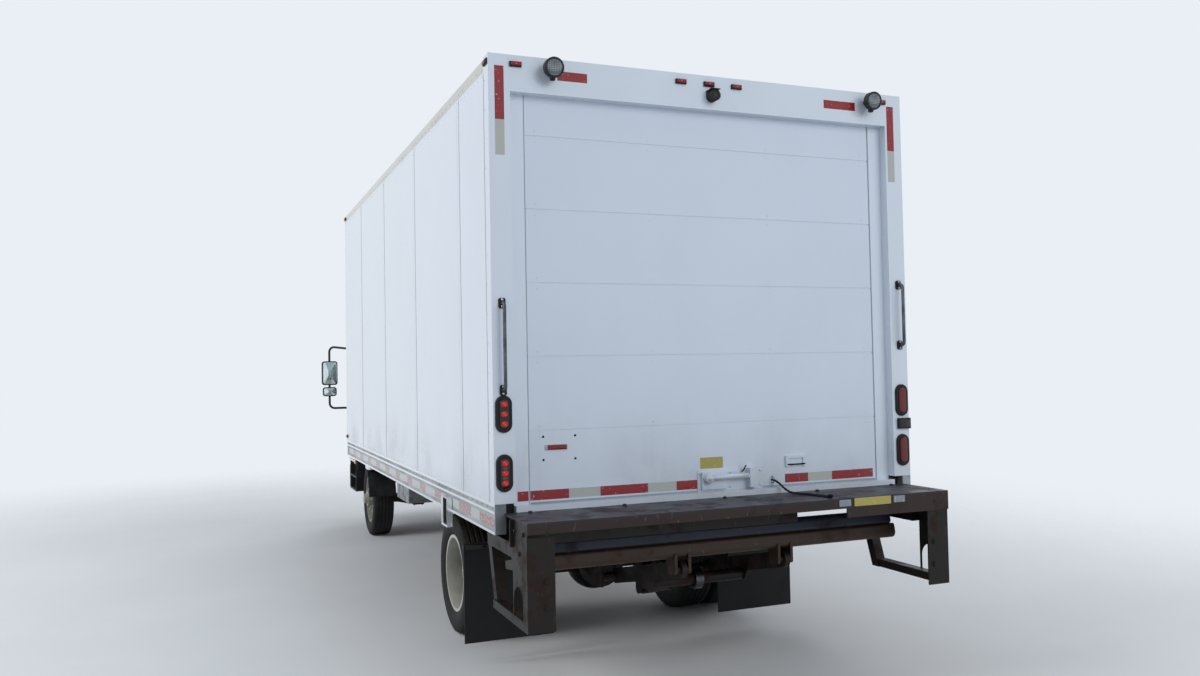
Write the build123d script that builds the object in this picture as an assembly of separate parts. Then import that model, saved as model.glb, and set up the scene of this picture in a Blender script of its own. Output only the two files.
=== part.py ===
"""Low-cab box truck with a tuck-under liftgate.

Stations along the truck are measured forward (+X) from the rear face of the load box, +Y is the truck's left and
+Z is up from the ground. All sizes are in millimetres. The finished pieces are moved along X once, so that the
origin lies under the middle of the truck.
"""
from build123d import *
import math
import os

# Clearances
FIT = 0.3              # between round faces that turn in each other
DOOR_GAP = 6.0         # round a cab door
CURTAIN_GAP = 6.0      # between the roll-up door and its jambs
CUT = 20.0             # how far a cutting shape runs past the piece
SINK = 2.0             # how far a welded-on piece goes into what carries it

# Wheels
TYRE_RADIUS = 405.0
TYRE_WIDTH = 225.0
RIM_RADIUS = 250.0
RIM_WIDTH = 190.0
RIM_WALL = 9.0
RIM_FLANGE = 12.0
DISC_THICKNESS = 12.0
DISC_DISH = 40.0
HAND_HOLES = 6
HAND_HOLE_RADIUS = 21.0
DUAL_SPACING = 256.0
REAR_OUTER_Y = 943.0

# Axles and springs
REAR_AXLE_X = 1950.0
KINGPIN_Y = 740.0
KINGPIN_RADIUS = 20.0
WHEEL_OFFSET = 93.0
SPINDLE_RADIUS = 35.0
SPINDLE_END = 229.0
REAR_SPINDLE_RADIUS = 45.0
REAR_SPINDLE_Y = 900.0
AXLE_TUBE_RADIUS = 70.0
BEAM_DEPTH = 90.0
BEAM_HEIGHT = 90.0
BEAM_DROP = 30.0
BEAM_TOP = 440.0
SPRING_WIDTH = 70.0
LEAF = 13.0
LEAF_BOW = 2200.0
FRONT_LEAF_COUNT = 4
FRONT_SPRING_REACH = 600.0     # from the axle to either end
REAR_LEAF_COUNT = 5
REAR_SPRING_REACH = 640.0

# Chassis
FRAME_TOP = 890.0
FRAME_HEIGHT = 216.0
FRAME_HALF_WIDTH = 427.0
FRAME_FLANGE = 70.0
FRAME_WEB = 7.0
FRAME_REAR = 850.0
FRAME_NOSE = 130.0             # from the frame's front end to the cab's face
CROSSMEMBER_FIRST = 1350.0
CROSSMEMBER_PITCH = 1280.0
CROSSMEMBER_COUNT = 4
CROSSMEMBER_FLANGE = 80.0
CROSSMEMBER_SHEET = 8.0

# Load box
BOX_LENGTH = 5486.0
BOX_WIDTH = 2591.0
BOX_HEIGHT = 2300.0            # above the floor
SILL_HEIGHT = 110.0
BEARER_HEIGHT = 90.0
BEARER_FLANGE = 60.0
BEARER_SHEET = 8.0
BEARER_FIRST = 355.0
BEARER_COUNT = 9
FLOOR_BOARD = 38.0
RAIL_HEIGHT = 153.0
RAIL_DEPTH = 60.0
RAIL_BEAD = 14.0
RAIL_MIDDLE = 43.0             # from the rail's top down to its middle bead
RAIL_GROOVE = 5.0
WALL = 40.0
ROOF_SHEET = 30.0
TOP_RAIL_HEIGHT = 78.0
TOP_RAIL_DEPTH = 55.0
TOP_RAIL_CHAMFER = 14.0
FRONT_POST = 60.0
REAR_POST_WIDTH = 116.0
REAR_POST_DEPTH = 90.0
HEADER_HEIGHT = 190.0
JAMB_WIDTH = 86.0
JAMB_FACE = 57.0
REAR_SILL_DROP = 18.0          # from the floor down to the rear sill's top
REAR_SILL_HEIGHT = 125.0
DOOR_FACE = 61.0
DOOR_PANEL = 25.0
DOOR_SEAM_FIRST = 374.0
DOOR_SEAM_PITCH = 386.0
DOOR_SEAM = (8.0, 3.0)         # width and depth of the groove between two door panels
PLATE_PLACE = (165.5, 283.0)   # plate's middle: in from the door's left edge, up from its foot
PLATE_SCREWS = (177.8, 120.65)
PLATE_SCREW_RADIUS = 3.5

# Lamps and handles
LAMP_SIZE = (84.0, 186.0)      # width and height of an oval lamp
LAMP_PROUD = 12.0
LAMP_Y_INSET = 54.5            # from the box's side to a lamp's middle
LAMP_Z = (155.0, 453.0)        # above the floor
MARKER_SIZE = (64.0, 26.0)
WORK_LAMP_RADIUS = 52.0
HANDLE_RADIUS = 8.0
HANDLE_STANDOFF = 45.0

# Cab
CAB_GAP = 344.0                # between the load box and the cab
CAB_LENGTH = 1770.0
CAB_HALF_WIDTH = 1020.0
CAB_RISE = 15.0                # from the frame up to the cab floor
FLOOR_SHEET = 30.0
HEM_DROP = 135.0
BELT_RISE = 575.0
GLASS_RISE = 810.0             # from the belt to the roof's top
CAB_WALL = 45.0
CAB_CORNER = 150.0
ROOF_RADIUS = 90.0
NOSE_RADIUS = 60.0
ROOF_BAND = 110.0
SIDE_LEAN = 62.0
BROW_SETBACK = 410.0
COWL_SETBACK = 75.0
NOSE_DROP = 120.0
PANEL_DEPTH = 80.0
AXLE_SETBACK = 595.0           # from the cab's back to the front axle
HINGE_SETBACK = 267.0
HINGE_Z = (145.0, 475.0)       # door hinges, above the cab floor
HINGE_RADIUS = 14.0
HINGE_PIN_RADIUS = 8.0
ARCH_RADIUS = 500.0
GLASS = (12.0, 18.0)           # depth of the panes' outer and inner faces
PIVOT_RADIUS = 25.0
PIVOT_SETBACK = 95.0
PIVOT_DROP = 150.0             # from the frame's top down to the cab's pivot
GRILLE = (500.0, 95.0, 280.0)  # half width, bottom and top above the hem
LAMP_BAY = (590.0, 865.0, 110.0, 262.0)    # headlamp's sides, bottom and top above the hem
BUMPER_PROUD = 40.0
BUMPER_BAND = (75.0, 340.0)    # bumper's top and bottom, below the hem
BUMPER_INSET = 20.0            # from the cab's side to the bumper's end

# Liftgate
PLATE_DROP = 30.0              # from the rear sill's top to the dock plate
PLATE_REACH = 375.0
PLATE_SHEET = 10.0
GUARD_INSET = 50.5
GUARD_HEIGHT = 520.0
GUARD_REAR = -365.0
GUARD_SHEET = 8.0
POST_FACE = 140.0
ARM_PIVOT = (760.0, 540.0)
ARM_END = (-120.0, 735.0)
ARM_Y = 315.0
ARM_THICK = 30.0
ARM_HEIGHT = 90.0
ARM_TIE = 0.49
ARM_PIN_RADIUS = 18.0
TIE_RADIUS = 35.0
TIE_DROP = 60.0
PLATFORM_INSET = 180.0
PLATFORM_REAR = -140.0
PLATFORM_LENGTH = 750.0
PLATFORM_BOTTOM = 800.0
PLATFORM_LAYER = 80.0
PLATFORM_TILT = 12.0
CYLINDER_BASE = (1000.0, 390.0)
CYLINDER_RADIUS = 38.0
ROD_RADIUS = 22.0
EYE_RADIUS = 45.0

# Worked out from the sizes above
SILL_TOP = FRAME_TOP + SILL_HEIGHT
FLOOR_BOTTOM = SILL_TOP + BEARER_HEIGHT
FLOOR_TOP = FLOOR_BOTTOM + FLOOR_BOARD
RAIL_BOTTOM = FLOOR_TOP - RAIL_HEIGHT
BOX_TOP = FLOOR_TOP + BOX_HEIGHT
WALL_TOP = BOX_TOP - TOP_RAIL_HEIGHT
OPENING_TOP = BOX_TOP - HEADER_HEIGHT
REAR_SILL_TOP = FLOOR_TOP - REAR_SILL_DROP
HALF_BOX = BOX_WIDTH / 2
POST_INNER = HALF_BOX - REAR_POST_WIDTH
DOOR_HALF_WIDTH = POST_INNER - JAMB_WIDTH - CURTAIN_GAP
CAB_BACK = BOX_LENGTH + CAB_GAP
CAB_FRONT = CAB_BACK + CAB_LENGTH
CAB_FLOOR = FRAME_TOP + CAB_RISE
CAB_HEM = CAB_FLOOR - HEM_DROP
BELT = CAB_FLOOR + BELT_RISE
CAB_TOP = BELT + GLASS_RISE
ROOF_SEAM = CAB_TOP - ROOF_BAND
DOOR_HINGE_X = CAB_FRONT - HINGE_SETBACK
FRONT_AXLE_X = CAB_BACK + AXLE_SETBACK
FRONT_TRACK_HALF = KINGPIN_Y + WHEEL_OFFSET
CAB_PIVOT = (CAB_FRONT - PIVOT_SETBACK, FRAME_TOP - PIVOT_DROP)
BUMPER_FRONT = CAB_FRONT + BUMPER_PROUD
FRAME_FRONT = CAB_FRONT - FRAME_NOSE
FRAME_BOTTOM = FRAME_TOP - FRAME_HEIGHT
FRAME_MIDDLE_Y = FRAME_HALF_WIDTH - FRAME_FLANGE / 2
PLATE_TOP = REAR_SILL_TOP - PLATE_DROP
GUARD_Y = HALF_BOX - GUARD_INSET
GUARD_BOTTOM = PLATE_TOP - GUARD_HEIGHT
PLATFORM_HALF_WIDTH = GUARD_Y - PLATFORM_INSET
ORIGIN_SHIFT = -(BUMPER_FRONT - PLATE_REACH) / 2


def block(x, y, z):
    """Box between the (low, high) pairs x, y and z."""
    return Pos(sum(x) / 2, sum(y) / 2, sum(z) / 2) * Box(x[1] - x[0], y[1] - y[0], z[1] - z[0])


def around(middle, width):
    """The (low, high) pair of that width about the middle."""
    return middle - width / 2, middle + width / 2


def rod(axis, radius, centre, length):
    """Cylinder along the named axis, centred at centre."""
    turn = {"x": Rot(0, 90, 0), "y": Rot(90, 0, 0), "z": Rot(0, 0, 0)}[axis]
    return Pos(*centre) * turn * Cylinder(radius, length)


def face_of(points, radius):
    """Closed outline with each corner rounded by radius, or by its own one where radius is a list."""
    if not radius:
        return make_face(Polyline(*points, close=True))
    return make_face(FilletPolyline(*points, radius=radius, close=True))


def side_prism(points, y, radius=0):
    """Outline of (x, z) points seen from the side, between the pair y."""
    return Pos(0, y[1], 0) * extrude(Plane.XZ * face_of(points, radius), y[1] - y[0])


def end_prism(points, x, radius=0):
    """Outline of (y, z) points seen from the end, between the pair x."""
    return Pos(x[0], 0, 0) * extrude(Plane.YZ * face_of(points, radius), x[1] - x[0])


def plan_prism(points, z, radius=0):
    """Outline of (x, y) points seen from above, between the pair z."""
    return Pos(0, 0, z[0]) * extrude(face_of(points, radius), z[1] - z[0])


def corners(first, second):
    """Corner points of the rectangle between the pairs first and second."""
    return [(first[0], second[0]), (first[0], second[1]), (first[1], second[1]), (first[1], second[0])]


def right(shape):
    """The same piece on the truck's right side."""
    return mirror(shape, about=Plane.XZ)


def both(shape):
    """The piece and its mirror image, as separate solids."""
    return Compound(children=[*shape.solids(), *right(shape).solids()])


def separate(shapes):
    """Several pieces in one node, as separate solids."""
    return Compound(children=[solid for shape in shapes for solid in shape.solids()])


def pipe(points, radius, bend):
    """Round bar along points, with each corner bent to the radius bend."""
    path = FilletPolyline(*points, radius=bend)
    return sweep(Plane(origin=path @ 0, z_dir=path % 0) * Circle(radius), path)


def direction(start, end):
    """Unit vector and length from one (x, z) point to another."""
    dx, dz = end[0] - start[0], end[1] - start[1]
    length = math.hypot(dx, dz)
    return (dx / length, dz / length), length


def channel(x, z, flange, sheet):
    """Outline of a channel that opens forward, between the pair z, with its web at x."""
    low, high = z
    return [(x, low), (x + flange, low), (x + flange, low + sheet), (x + sheet, low + sheet),
            (x + sheet, high - sheet), (x + flange, high - sheet), (x + flange, high), (x, high)]


# Load box

def box_floor():
    half = HALF_BOX - RAIL_DEPTH
    return block((REAR_POST_DEPTH, BOX_LENGTH - WALL), (-half, half), (FLOOR_BOTTOM, FLOOR_TOP))


def floor_bearers():
    """Cross channels under the floor, evenly spaced up to the front wall."""
    half = HALF_BOX - RAIL_DEPTH
    pitch = (BOX_LENGTH - WALL - BEARER_FLANGE - BEARER_FIRST) / (BEARER_COUNT - 1)
    stations = [BEARER_FIRST - BEARER_FLANGE / 2 + i * pitch for i in range(BEARER_COUNT)]
    return separate([side_prism(channel(x, (SILL_TOP, FLOOR_BOTTOM), BEARER_FLANGE, BEARER_SHEET), (-half, half))
                     for x in stations])


def box_sills():
    """Long sills between the frame rails and the cross bearers."""
    return both(block((BEARER_FIRST - BEARER_FLANGE / 2, BOX_LENGTH - WALL), around(FRAME_MIDDLE_Y, FRAME_FLANGE),
                      (FRAME_TOP, SILL_TOP)))


def bottom_rails():
    """Extruded side rail with three raised beads on its face. The left one carries a hanging holder."""
    face, inner = HALF_BOX, HALF_BOX - RAIL_DEPTH
    groove = face - RAIL_GROOVE
    middle = FLOOR_TOP - RAIL_MIDDLE
    outline = [(inner, RAIL_BOTTOM), (inner, FLOOR_TOP)]
    for low in (FLOOR_TOP - RAIL_BEAD, middle - RAIL_BEAD / 2):
        outline += [(face, low + RAIL_BEAD), (face, low), (groove, low)]
        outline += [(groove, middle + RAIL_BEAD / 2)] if low > middle else [(groove, RAIL_BOTTOM + RAIL_BEAD)]
    outline += [(face, RAIL_BOTTOM + RAIL_BEAD), (face, RAIL_BOTTOM)]
    rail = end_prism(outline, (0.0, BOX_LENGTH))
    holder_x, holder_z, holder_depth, holder_sheet = (923.0, 1067.0), (887.0, 1058.0), 30.0, 4.0
    holder = block(holder_x, (groove, face + holder_depth), holder_z)
    hollow = ((holder_x[0] + holder_sheet, holder_x[1] - holder_sheet),
              (face + holder_sheet, face + holder_depth + CUT),
              (holder_z[0] + holder_sheet, holder_z[1] - holder_sheet))
    return separate([rail + (holder - block(*hollow)), right(rail)])


def side_walls():
    return both(block((REAR_POST_DEPTH, BOX_LENGTH - FRONT_POST), (HALF_BOX - WALL, HALF_BOX), (FLOOR_TOP, WALL_TOP)))


def top_rails():
    """Rail that joins each side wall to the roof."""
    face, inner = HALF_BOX, HALF_BOX - TOP_RAIL_DEPTH
    outline = [(inner, WALL_TOP), (face, WALL_TOP), (face, BOX_TOP - TOP_RAIL_CHAMFER),
               (face - TOP_RAIL_CHAMFER, BOX_TOP), (inner, BOX_TOP)]
    return both(end_prism(outline, (REAR_POST_DEPTH, BOX_LENGTH)))


def roof_panel():
    half = HALF_BOX - TOP_RAIL_DEPTH
    return block((REAR_POST_DEPTH, BOX_LENGTH), (-half, half), (BOX_TOP - ROOF_SHEET, BOX_TOP))


def front_wall():
    """Front wall with its corner posts."""
    half = HALF_BOX - TOP_RAIL_DEPTH
    wall = block((BOX_LENGTH - WALL, BOX_LENGTH), (-half, half), (FLOOR_TOP, BOX_TOP - ROOF_SHEET))
    corner = block((BOX_LENGTH - FRONT_POST, BOX_LENGTH), (half, HALF_BOX), (FLOOR_TOP, WALL_TOP))
    return wall + corner + right(corner)


def grab_handle(y, low, high):
    """Upright bar that stands off a rear post, with a foot at each end."""
    foot = (34.0, 50.0, 6.0)   # width, height and thickness
    bend = 24.0
    bar = pipe([(SINK, y, low), (-HANDLE_STANDOFF, y, low), (-HANDLE_STANDOFF, y, high), (SINK, y, high)],
               HANDLE_RADIUS, bend)
    for z in (low, high):
        bar += block((-foot[2], SINK), around(y, foot[0]), around(z, foot[1]))
    return bar


def rear_frame():
    """Posts, header, jambs beside the door, sill below it and a grab handle on each post."""
    sill_bottom = REAR_SILL_TOP - REAR_SILL_HEIGHT
    header = block((0, REAR_POST_DEPTH), (-POST_INNER, POST_INNER), (OPENING_TOP, BOX_TOP))
    sill = block((0, REAR_POST_DEPTH), (-POST_INNER, POST_INNER), (sill_bottom, REAR_SILL_TOP))
    post = block((0, REAR_POST_DEPTH), (POST_INNER, HALF_BOX), (FLOOR_TOP, BOX_TOP))
    jamb = block((JAMB_FACE, REAR_POST_DEPTH), (POST_INNER - JAMB_WIDTH, POST_INNER), (REAR_SILL_TOP, OPENING_TOP))
    half = post + jamb
    handle_y = HALF_BOX - LAMP_Y_INSET
    left_handle, right_handle = (574.0, 1016.0), (784.0, 1146.0)    # ends above the floor
    frame = header + sill + half + right(half)
    frame += grab_handle(handle_y, FLOOR_TOP + left_handle[0], FLOOR_TOP + left_handle[1])
    return frame + grab_handle(-handle_y, FLOOR_TOP + right_handle[0], FLOOR_TOP + right_handle[1])


def roll_up_door():
    """Door curtain in the rear opening: panels with a groove between them, and the plate's screw holes."""
    half = DOOR_HALF_WIDTH
    door = block((DOOR_FACE, DOOR_FACE + DOOR_PANEL), (-half, half), (REAR_SILL_TOP, OPENING_TOP))
    seam_width, seam_depth = DOOR_SEAM
    seam = REAR_SILL_TOP + DOOR_SEAM_FIRST
    while seam < OPENING_TOP - seam_width:
        door -= block((DOOR_FACE - CUT, DOOR_FACE + seam_depth), (-half - CUT, half + CUT), around(seam, seam_width))
        seam += DOOR_SEAM_PITCH
    centre_y, centre_z = half - PLATE_PLACE[0], REAR_SILL_TOP + PLATE_PLACE[1]
    for y in around(centre_y, PLATE_SCREWS[0]):
        for z in around(centre_z, PLATE_SCREWS[1]):
            door -= rod("x", PLATE_SCREW_RADIUS, (DOOR_FACE, y, z), 4 * DOOR_PANEL)
    return door


def door_latch():
    """Pressed latch plate at the foot of the door, with its lever, hub, keeper strap and hand grip."""
    face = DOOR_FACE
    foot = REAR_SILL_TOP + FIT
    plate_y, plate_sheet, plate_top = (-296.0, 115.0), 6.0, 118.0
    pan_y, pan_depth = (-60.0, 95.0), 22.0
    lever_y, lever_radius, lever_lift, lever_z = (-190.0, 60.0), 13.0, 34.0, 74.0
    hub_radius, keeper_y, keeper_depth = 26.0, (-245.0, -195.0), 48.0
    grip_y, grip_z, grip_depth = (-590.0, -455.0), (110.0, 169.0), 14.0
    shape = block((face - plate_sheet, face), plate_y, (foot, foot + plate_top))
    shape += block((face - pan_depth, face), pan_y, (foot + 2 * plate_sheet, foot + plate_top - 2 * plate_sheet))
    shape += block((face - keeper_depth, face), keeper_y, (foot + 2 * plate_sheet, foot + plate_top))
    x = face - lever_lift
    shape += rod("y", lever_radius, (x, sum(lever_y) / 2, foot + lever_z), lever_y[1] - lever_y[0] + CUT)
    hub_x = (x - lever_radius, face)
    shape += rod("x", hub_radius, (sum(hub_x) / 2, lever_y[1], foot + lever_z), hub_x[1] - hub_x[0])
    grip = block((face - grip_depth, face), grip_y, (foot + grip_z[0], foot + grip_z[1]))
    grip -= block((face - grip_depth - CUT, face - plate_sheet), (grip_y[0] + CUT, grip_y[1] - CUT),
                  (foot + grip_z[0] - CUT, foot + grip_z[1] - 2 * plate_sheet))
    return separate([shape, grip])


def pull_strap():
    """Rope tied to the door beside the latch. It drops over the sill and lies across the dock plate."""
    radius, bend = 6.0, 24.0
    rest = PLATE_TOP + radius
    start = REAR_SILL_TOP + 40.0
    route = [(DOOR_FACE, -366.0, start), (15.0, -366.0, start), (-55.0, -388.0, rest + 10), (-100.0, -412.0, rest),
             (-165.0, -462.0, rest), (-235.0, -470.0, rest), (-315.0, -497.0, rest)]
    return pipe(route, radius, bend)


def mud_flaps():
    """Rubber flap behind each pair of rear wheels, hung from an arm on the frame rail."""
    ahead, sheet, arm_height, arm_depth, ground = 395.0, 10.0, 40.0, 40.0, 130.0
    x = REAR_AXLE_X - TYRE_RADIUS - ahead
    outer = REAR_OUTER_Y + TYRE_WIDTH + SINK
    inner = REAR_OUTER_Y - DUAL_SPACING - TYRE_WIDTH / 2 + CUT
    arm_z = (FRAME_BOTTOM + CUT, FRAME_BOTTOM + CUT + arm_height)
    flap = block((x, x + sheet), (inner, outer), (ground, arm_z[0] + SINK))
    return both(flap + block((x, x + arm_depth), (FRAME_HALF_WIDTH, outer), arm_z))


def oval_lamp(side, z):
    """Upright oval lamp on the rear face of a post, with a raised lens inside its rubber rim."""
    width, height = LAMP_SIZE
    rim = 9.0
    y = side * (HALF_BOX - LAMP_Y_INSET)
    seat = Pos(-LAMP_PROUD, y, z) * extrude(Plane.YZ * SlotOverall(height, width, rotation=90), LAMP_PROUD)
    lens = Plane.YZ * SlotOverall(height - 4 * rim, width - 4 * rim, rotation=90)
    return seat + Pos(-LAMP_PROUD - rim / 2, y, z) * extrude(lens, LAMP_PROUD)


def tail_lamps():
    """Two oval lamps on each post, and a small black one between those on the right."""
    small_y, small_z, small_depth = (-1302.0, -1215.0), (282.0, 345.0), 18.0
    lamps = [oval_lamp(side, FLOOR_TOP + z) for side in (-1, 1) for z in LAMP_Z]
    small = block((-small_depth, 0), (-HALF_BOX, small_y[1] - small_y[0] - HALF_BOX),
                  (FLOOR_TOP + small_z[0], FLOOR_TOP + small_z[1]))
    return separate([*lamps, small])


def work_lamp(y, z):
    """Round floodlight: dished housing on a short stalk."""
    depth, back = 62.0, 26.0
    outline = [(0, 0), (back, 0), (WORK_LAMP_RADIUS - 6, depth / 2), (WORK_LAMP_RADIUS, depth / 2),
               (WORK_LAMP_RADIUS, depth), (0, depth)]
    housing = revolve(Plane.XZ * make_face(Polyline(*outline, close=True)), Axis.Z)
    turned = Pos(-back, y, z) * Rot(0, -90 - 8, 0) * housing
    return turned + rod("x", back / 2, (-back, y, z), 2 * back)


def roof_lamps():
    """Marker lamps, floodlights and the reversing camera on the header."""
    marker_z, work_z, camera_z = BOX_TOP - 49.0, BOX_TOP - 62.0, BOX_TOP - 118.0
    marker_depth, camera_radius, camera_depth = 18.0, 32.0, 52.0
    marker_y = (-POST_INNER + 29.5, -153.0, 22.0, 197.0, POST_INNER - 29.5)
    parts = []
    for y in marker_y:
        marker = block((-marker_depth, 0), around(y, MARKER_SIZE[0]), around(marker_z, MARKER_SIZE[1]))
        parts.append(chamfer(marker.faces().sort_by(Axis.X)[0].edges(), marker_depth / 3))
    parts += [work_lamp(POST_INNER - 214.0, work_z), work_lamp(-POST_INNER + 142.0, work_z)]
    camera = rod("x", camera_radius, (-camera_depth / 2, marker_y[2] - 15.0, camera_z), camera_depth)
    parts.append(camera + block((-camera_depth / 2, 0), around(marker_y[2] - 15.0, 2 * camera_radius),
                                (camera_z, camera_z + camera_radius)))
    return separate(parts)


# Chassis

def frame_rails():
    """Channel rails, open towards each other."""
    outer, inner, t = FRAME_HALF_WIDTH, FRAME_HALF_WIDTH - FRAME_FLANGE, FRAME_WEB
    low, high = FRAME_BOTTOM, FRAME_TOP
    outline = [(inner, low), (outer, low), (outer, high), (inner, high), (inner, high - t), (outer - t, high - t),
               (outer - t, low + t), (inner, low + t)]
    return both(end_prism(outline, (FRAME_REAR, FRAME_FRONT)))


def frame_crossmembers():
    """Cross channels between the rail webs, the cab's rear rest and its pivot tube."""
    half = FRAME_HALF_WIDTH - FRAME_WEB
    margin = 40.0
    z = (FRAME_BOTTOM + margin, FRAME_TOP - margin)
    parts = []
    for i in range(CROSSMEMBER_COUNT):
        x = CROSSMEMBER_FIRST + i * CROSSMEMBER_PITCH
        parts.append(side_prism(channel(x - CROSSMEMBER_FLANGE / 2, z, CROSSMEMBER_FLANGE, CROSSMEMBER_SHEET),
                                (-half, half)))
    rest = (CAB_BACK + CUT, CAB_BACK + ENGINE[0])
    parts.append(block(rest, (-FRAME_HALF_WIDTH, FRAME_HALF_WIDTH), (FRAME_TOP, CAB_FLOOR)))
    parts.append(rod("y", PIVOT_RADIUS, (CAB_PIVOT[0], 0, CAB_PIVOT[1]), 2 * FRAME_HALF_WIDTH))
    return separate(parts)


ENGINE = (70.0, 860.0, 600.0, 580.0, 175.0)    # from the cab's back, length, width, height, top above cab floor


def engine_block():
    setback, length, width, height, rise = ENGINE
    x = CAB_BACK + setback
    return block((x, x + length), (-width / 2, width / 2), (CAB_FLOOR + rise - height, CAB_FLOOR + rise))


def hung_brackets(stations, reach, z, width):
    """Brackets from the left rail's web out to reach, one at each station."""
    shape = Part()
    for x in stations:
        shape += block(around(x, width), (FRAME_HALF_WIDTH, reach), z)
    return shape


def fuel_tank():
    """Tank with rounded edges on the right rail, held by two straps, with its filler neck."""
    x, width, height, corner = (3300.0, 4300.0), 430.0, 360.0, 60.0
    gap, strap, strap_width, bracket_height = 43.0, 5.0, 50.0, 160.0
    low = FRAME_TOP - CAB_RISE / 2 - height
    y = (FRAME_HALF_WIDTH + gap, FRAME_HALF_WIDTH + gap + width)
    section = end_prism(corners(y, (low, low + height)), x, corner)
    stations = (x[0] + width / 2, x[1] - width / 2)
    for station in stations:
        band = corners((y[0] - strap, y[1] + strap), (low - strap, low + height + strap))
        section += end_prism(band, around(station, strap_width), corner + strap)
    section += hung_brackets(stations, y[0] + corner, (FRAME_TOP - CUT - bracket_height, FRAME_TOP - CUT), strap_width)
    neck_radius, neck_length = 38.0, 55.0
    section += rod("y", neck_radius, (sum(x) / 2, y[1], low + height - 2 * corner), 2 * neck_length)
    return right(section)


def battery_box():
    """Box with an overhanging lid on the left rail."""
    x, width, height, lip, lid = (4550.0, 5150.0), 400.0, 290.0, 8.0, 60.0
    gap = 23.0
    top = FRAME_TOP - 2 * CUT
    y = (FRAME_HALF_WIDTH + gap, FRAME_HALF_WIDTH + gap + width)
    box = block(x, y, (top - height, top))
    box += block((x[0] - lip, x[1] + lip), (y[0], y[1] + lip), (top - lid, top + lip))
    stations = (x[0] + 2 * lid, x[1] - 2 * lid)
    return box + hung_brackets(stations, y[0] + CUT, (top - height / 2, top - CUT), 2 * lid)


def exhaust_muffler():
    """Muffler on the right rail, with domed ends, its inlet pipe and a tail pipe turned outwards."""
    radius, x, y, z = 130.0, (4550.0, 5250.0), 620.0, 640.0
    pipe_radius, bend, dome, outlet = 32.0, 110.0, 30.0, 330.0
    can = rod("x", radius, (sum(x) / 2, -y, z), x[1] - x[0])
    can = chamfer(can.edges().filter_by(GeomType.CIRCLE), dome)
    inlet = pipe([(x[1] - CUT, -y, z), (x[1] + outlet, -y, z), (x[1] + outlet + bend, -y + bend, z + bend)],
                 pipe_radius, bend)
    tail_x = x[0] - 1.5 * bend
    tail = pipe([(x[0] + CUT, -y, z), (tail_x, -y, z), (tail_x, -y - outlet, z)], pipe_radius, bend)
    hanger = block(around(sum(x) / 2, 2 * pipe_radius), (-y, -FRAME_HALF_WIDTH), (z + radius / 2, z + radius))
    return can + inlet + tail + hanger


PINION = (190.0, 140.0, 20.0)      # nose's middle ahead of the axle, its length, its rise


def drive_shaft():
    """Tube with a joint at each end, from the gearbox to the rear axle."""
    shaft_radius, joint_radius, joint_length = 45.0, 62.0, 70.0
    gearbox_length, gearbox_half, gearbox_z = 820.0, 130.0, (460.0, 700.0)
    setback = ENGINE[0]
    gearbox_x = (CAB_BACK + setback - gearbox_length, CAB_BACK + setback)
    start = (gearbox_x[0] - joint_length / 2, 600.0)
    end = (REAR_AXLE_X + PINION[0] + PINION[1] / 2 + joint_length / 2, TYRE_RADIUS + PINION[2])
    (dx, dz), span = direction(start, end)
    middle = Pos((start[0] + end[0]) / 2, 0, (start[1] + end[1]) / 2)
    shaft = middle * Rot(0, math.degrees(math.atan2(dx, dz)), 0) * Cylinder(shaft_radius, span)
    for x, z in (start, end):
        shaft += rod("x", joint_radius, (x, 0, z), joint_length)
    return shaft + block(gearbox_x, (-gearbox_half, gearbox_half), gearbox_z)


def front_axle_beam():
    """Forged beam of I section that rises to an eye for each kingpin."""
    half_depth, flange, web = BEAM_DEPTH / 2, 20.0, 24.0
    eye_radius, eye_height, ramp = 45.0, 110.0, 130.0
    height, rise = BEAM_HEIGHT, BEAM_DROP
    low, drop_y = BEAM_TOP - height, FRAME_HALF_WIDTH + SPRING_WIDTH
    outline = []
    for side in (-1, 1):
        level = [(drop_y, low - rise), (drop_y + ramp, low), (KINGPIN_Y, low)]
        outline += [(side * y, z) for y, z in (level if side > 0 else reversed(level))]
    beam = end_prism([*outline, (KINGPIN_Y, BEAM_TOP), (-KINGPIN_Y, BEAM_TOP)],
                     (FRONT_AXLE_X - half_depth, FRONT_AXLE_X + half_depth))
    for side in (-1, 1):
        pocket_x = FRONT_AXLE_X + side * (half_depth + web / 2)
        beam -= block(around(pocket_x, BEAM_DEPTH - web), (-drop_y, drop_y), (low - rise + flange, BEAM_TOP - flange))
    for side in (-1, 1):
        centre = (FRONT_AXLE_X, side * KINGPIN_Y, BEAM_TOP - height / 2)
        beam += rod("z", eye_radius, centre, eye_height)
    for side in (-1, 1):
        beam -= rod("z", KINGPIN_RADIUS + FIT, (FRONT_AXLE_X, side * KINGPIN_Y, BEAM_TOP), 4 * height)
    return beam


def steering_knuckle():
    """Left knuckle with its kingpin, ears above and below the beam's eye, and wheel spindle."""
    x, y, z = FRONT_AXLE_X, KINGPIN_Y, TYRE_RADIUS
    ear_offset, ear_thickness, ear_radius, ear_half = 78.0, 32.0, 42.0, 40.0
    wall_y, wall_half = (54.0, 84.0), 45.0
    pin_length = 2 * ear_offset + ear_thickness + 2 * SINK
    centre = z - 5.0
    shape = rod("z", KINGPIN_RADIUS, (x, y, centre), pin_length)
    for side in (-1, 1):
        ear_z = around(centre + side * ear_offset, ear_thickness)
        shape += rod("z", ear_radius, (x, y, sum(ear_z) / 2), ear_thickness)
        shape += block((x - ear_half, x + ear_half), (y, y + wall_y[1] - SINK), ear_z)
    shape += block((x - wall_half, x + wall_half), (y + wall_y[0], y + wall_y[1]), around(centre, pin_length))
    spindle_start = y + wall_y[1] - SINK
    return shape + rod("y", SPINDLE_RADIUS, (x, (spindle_start + y + SPINDLE_END) / 2, z),
                       y + SPINDLE_END - spindle_start)


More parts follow.
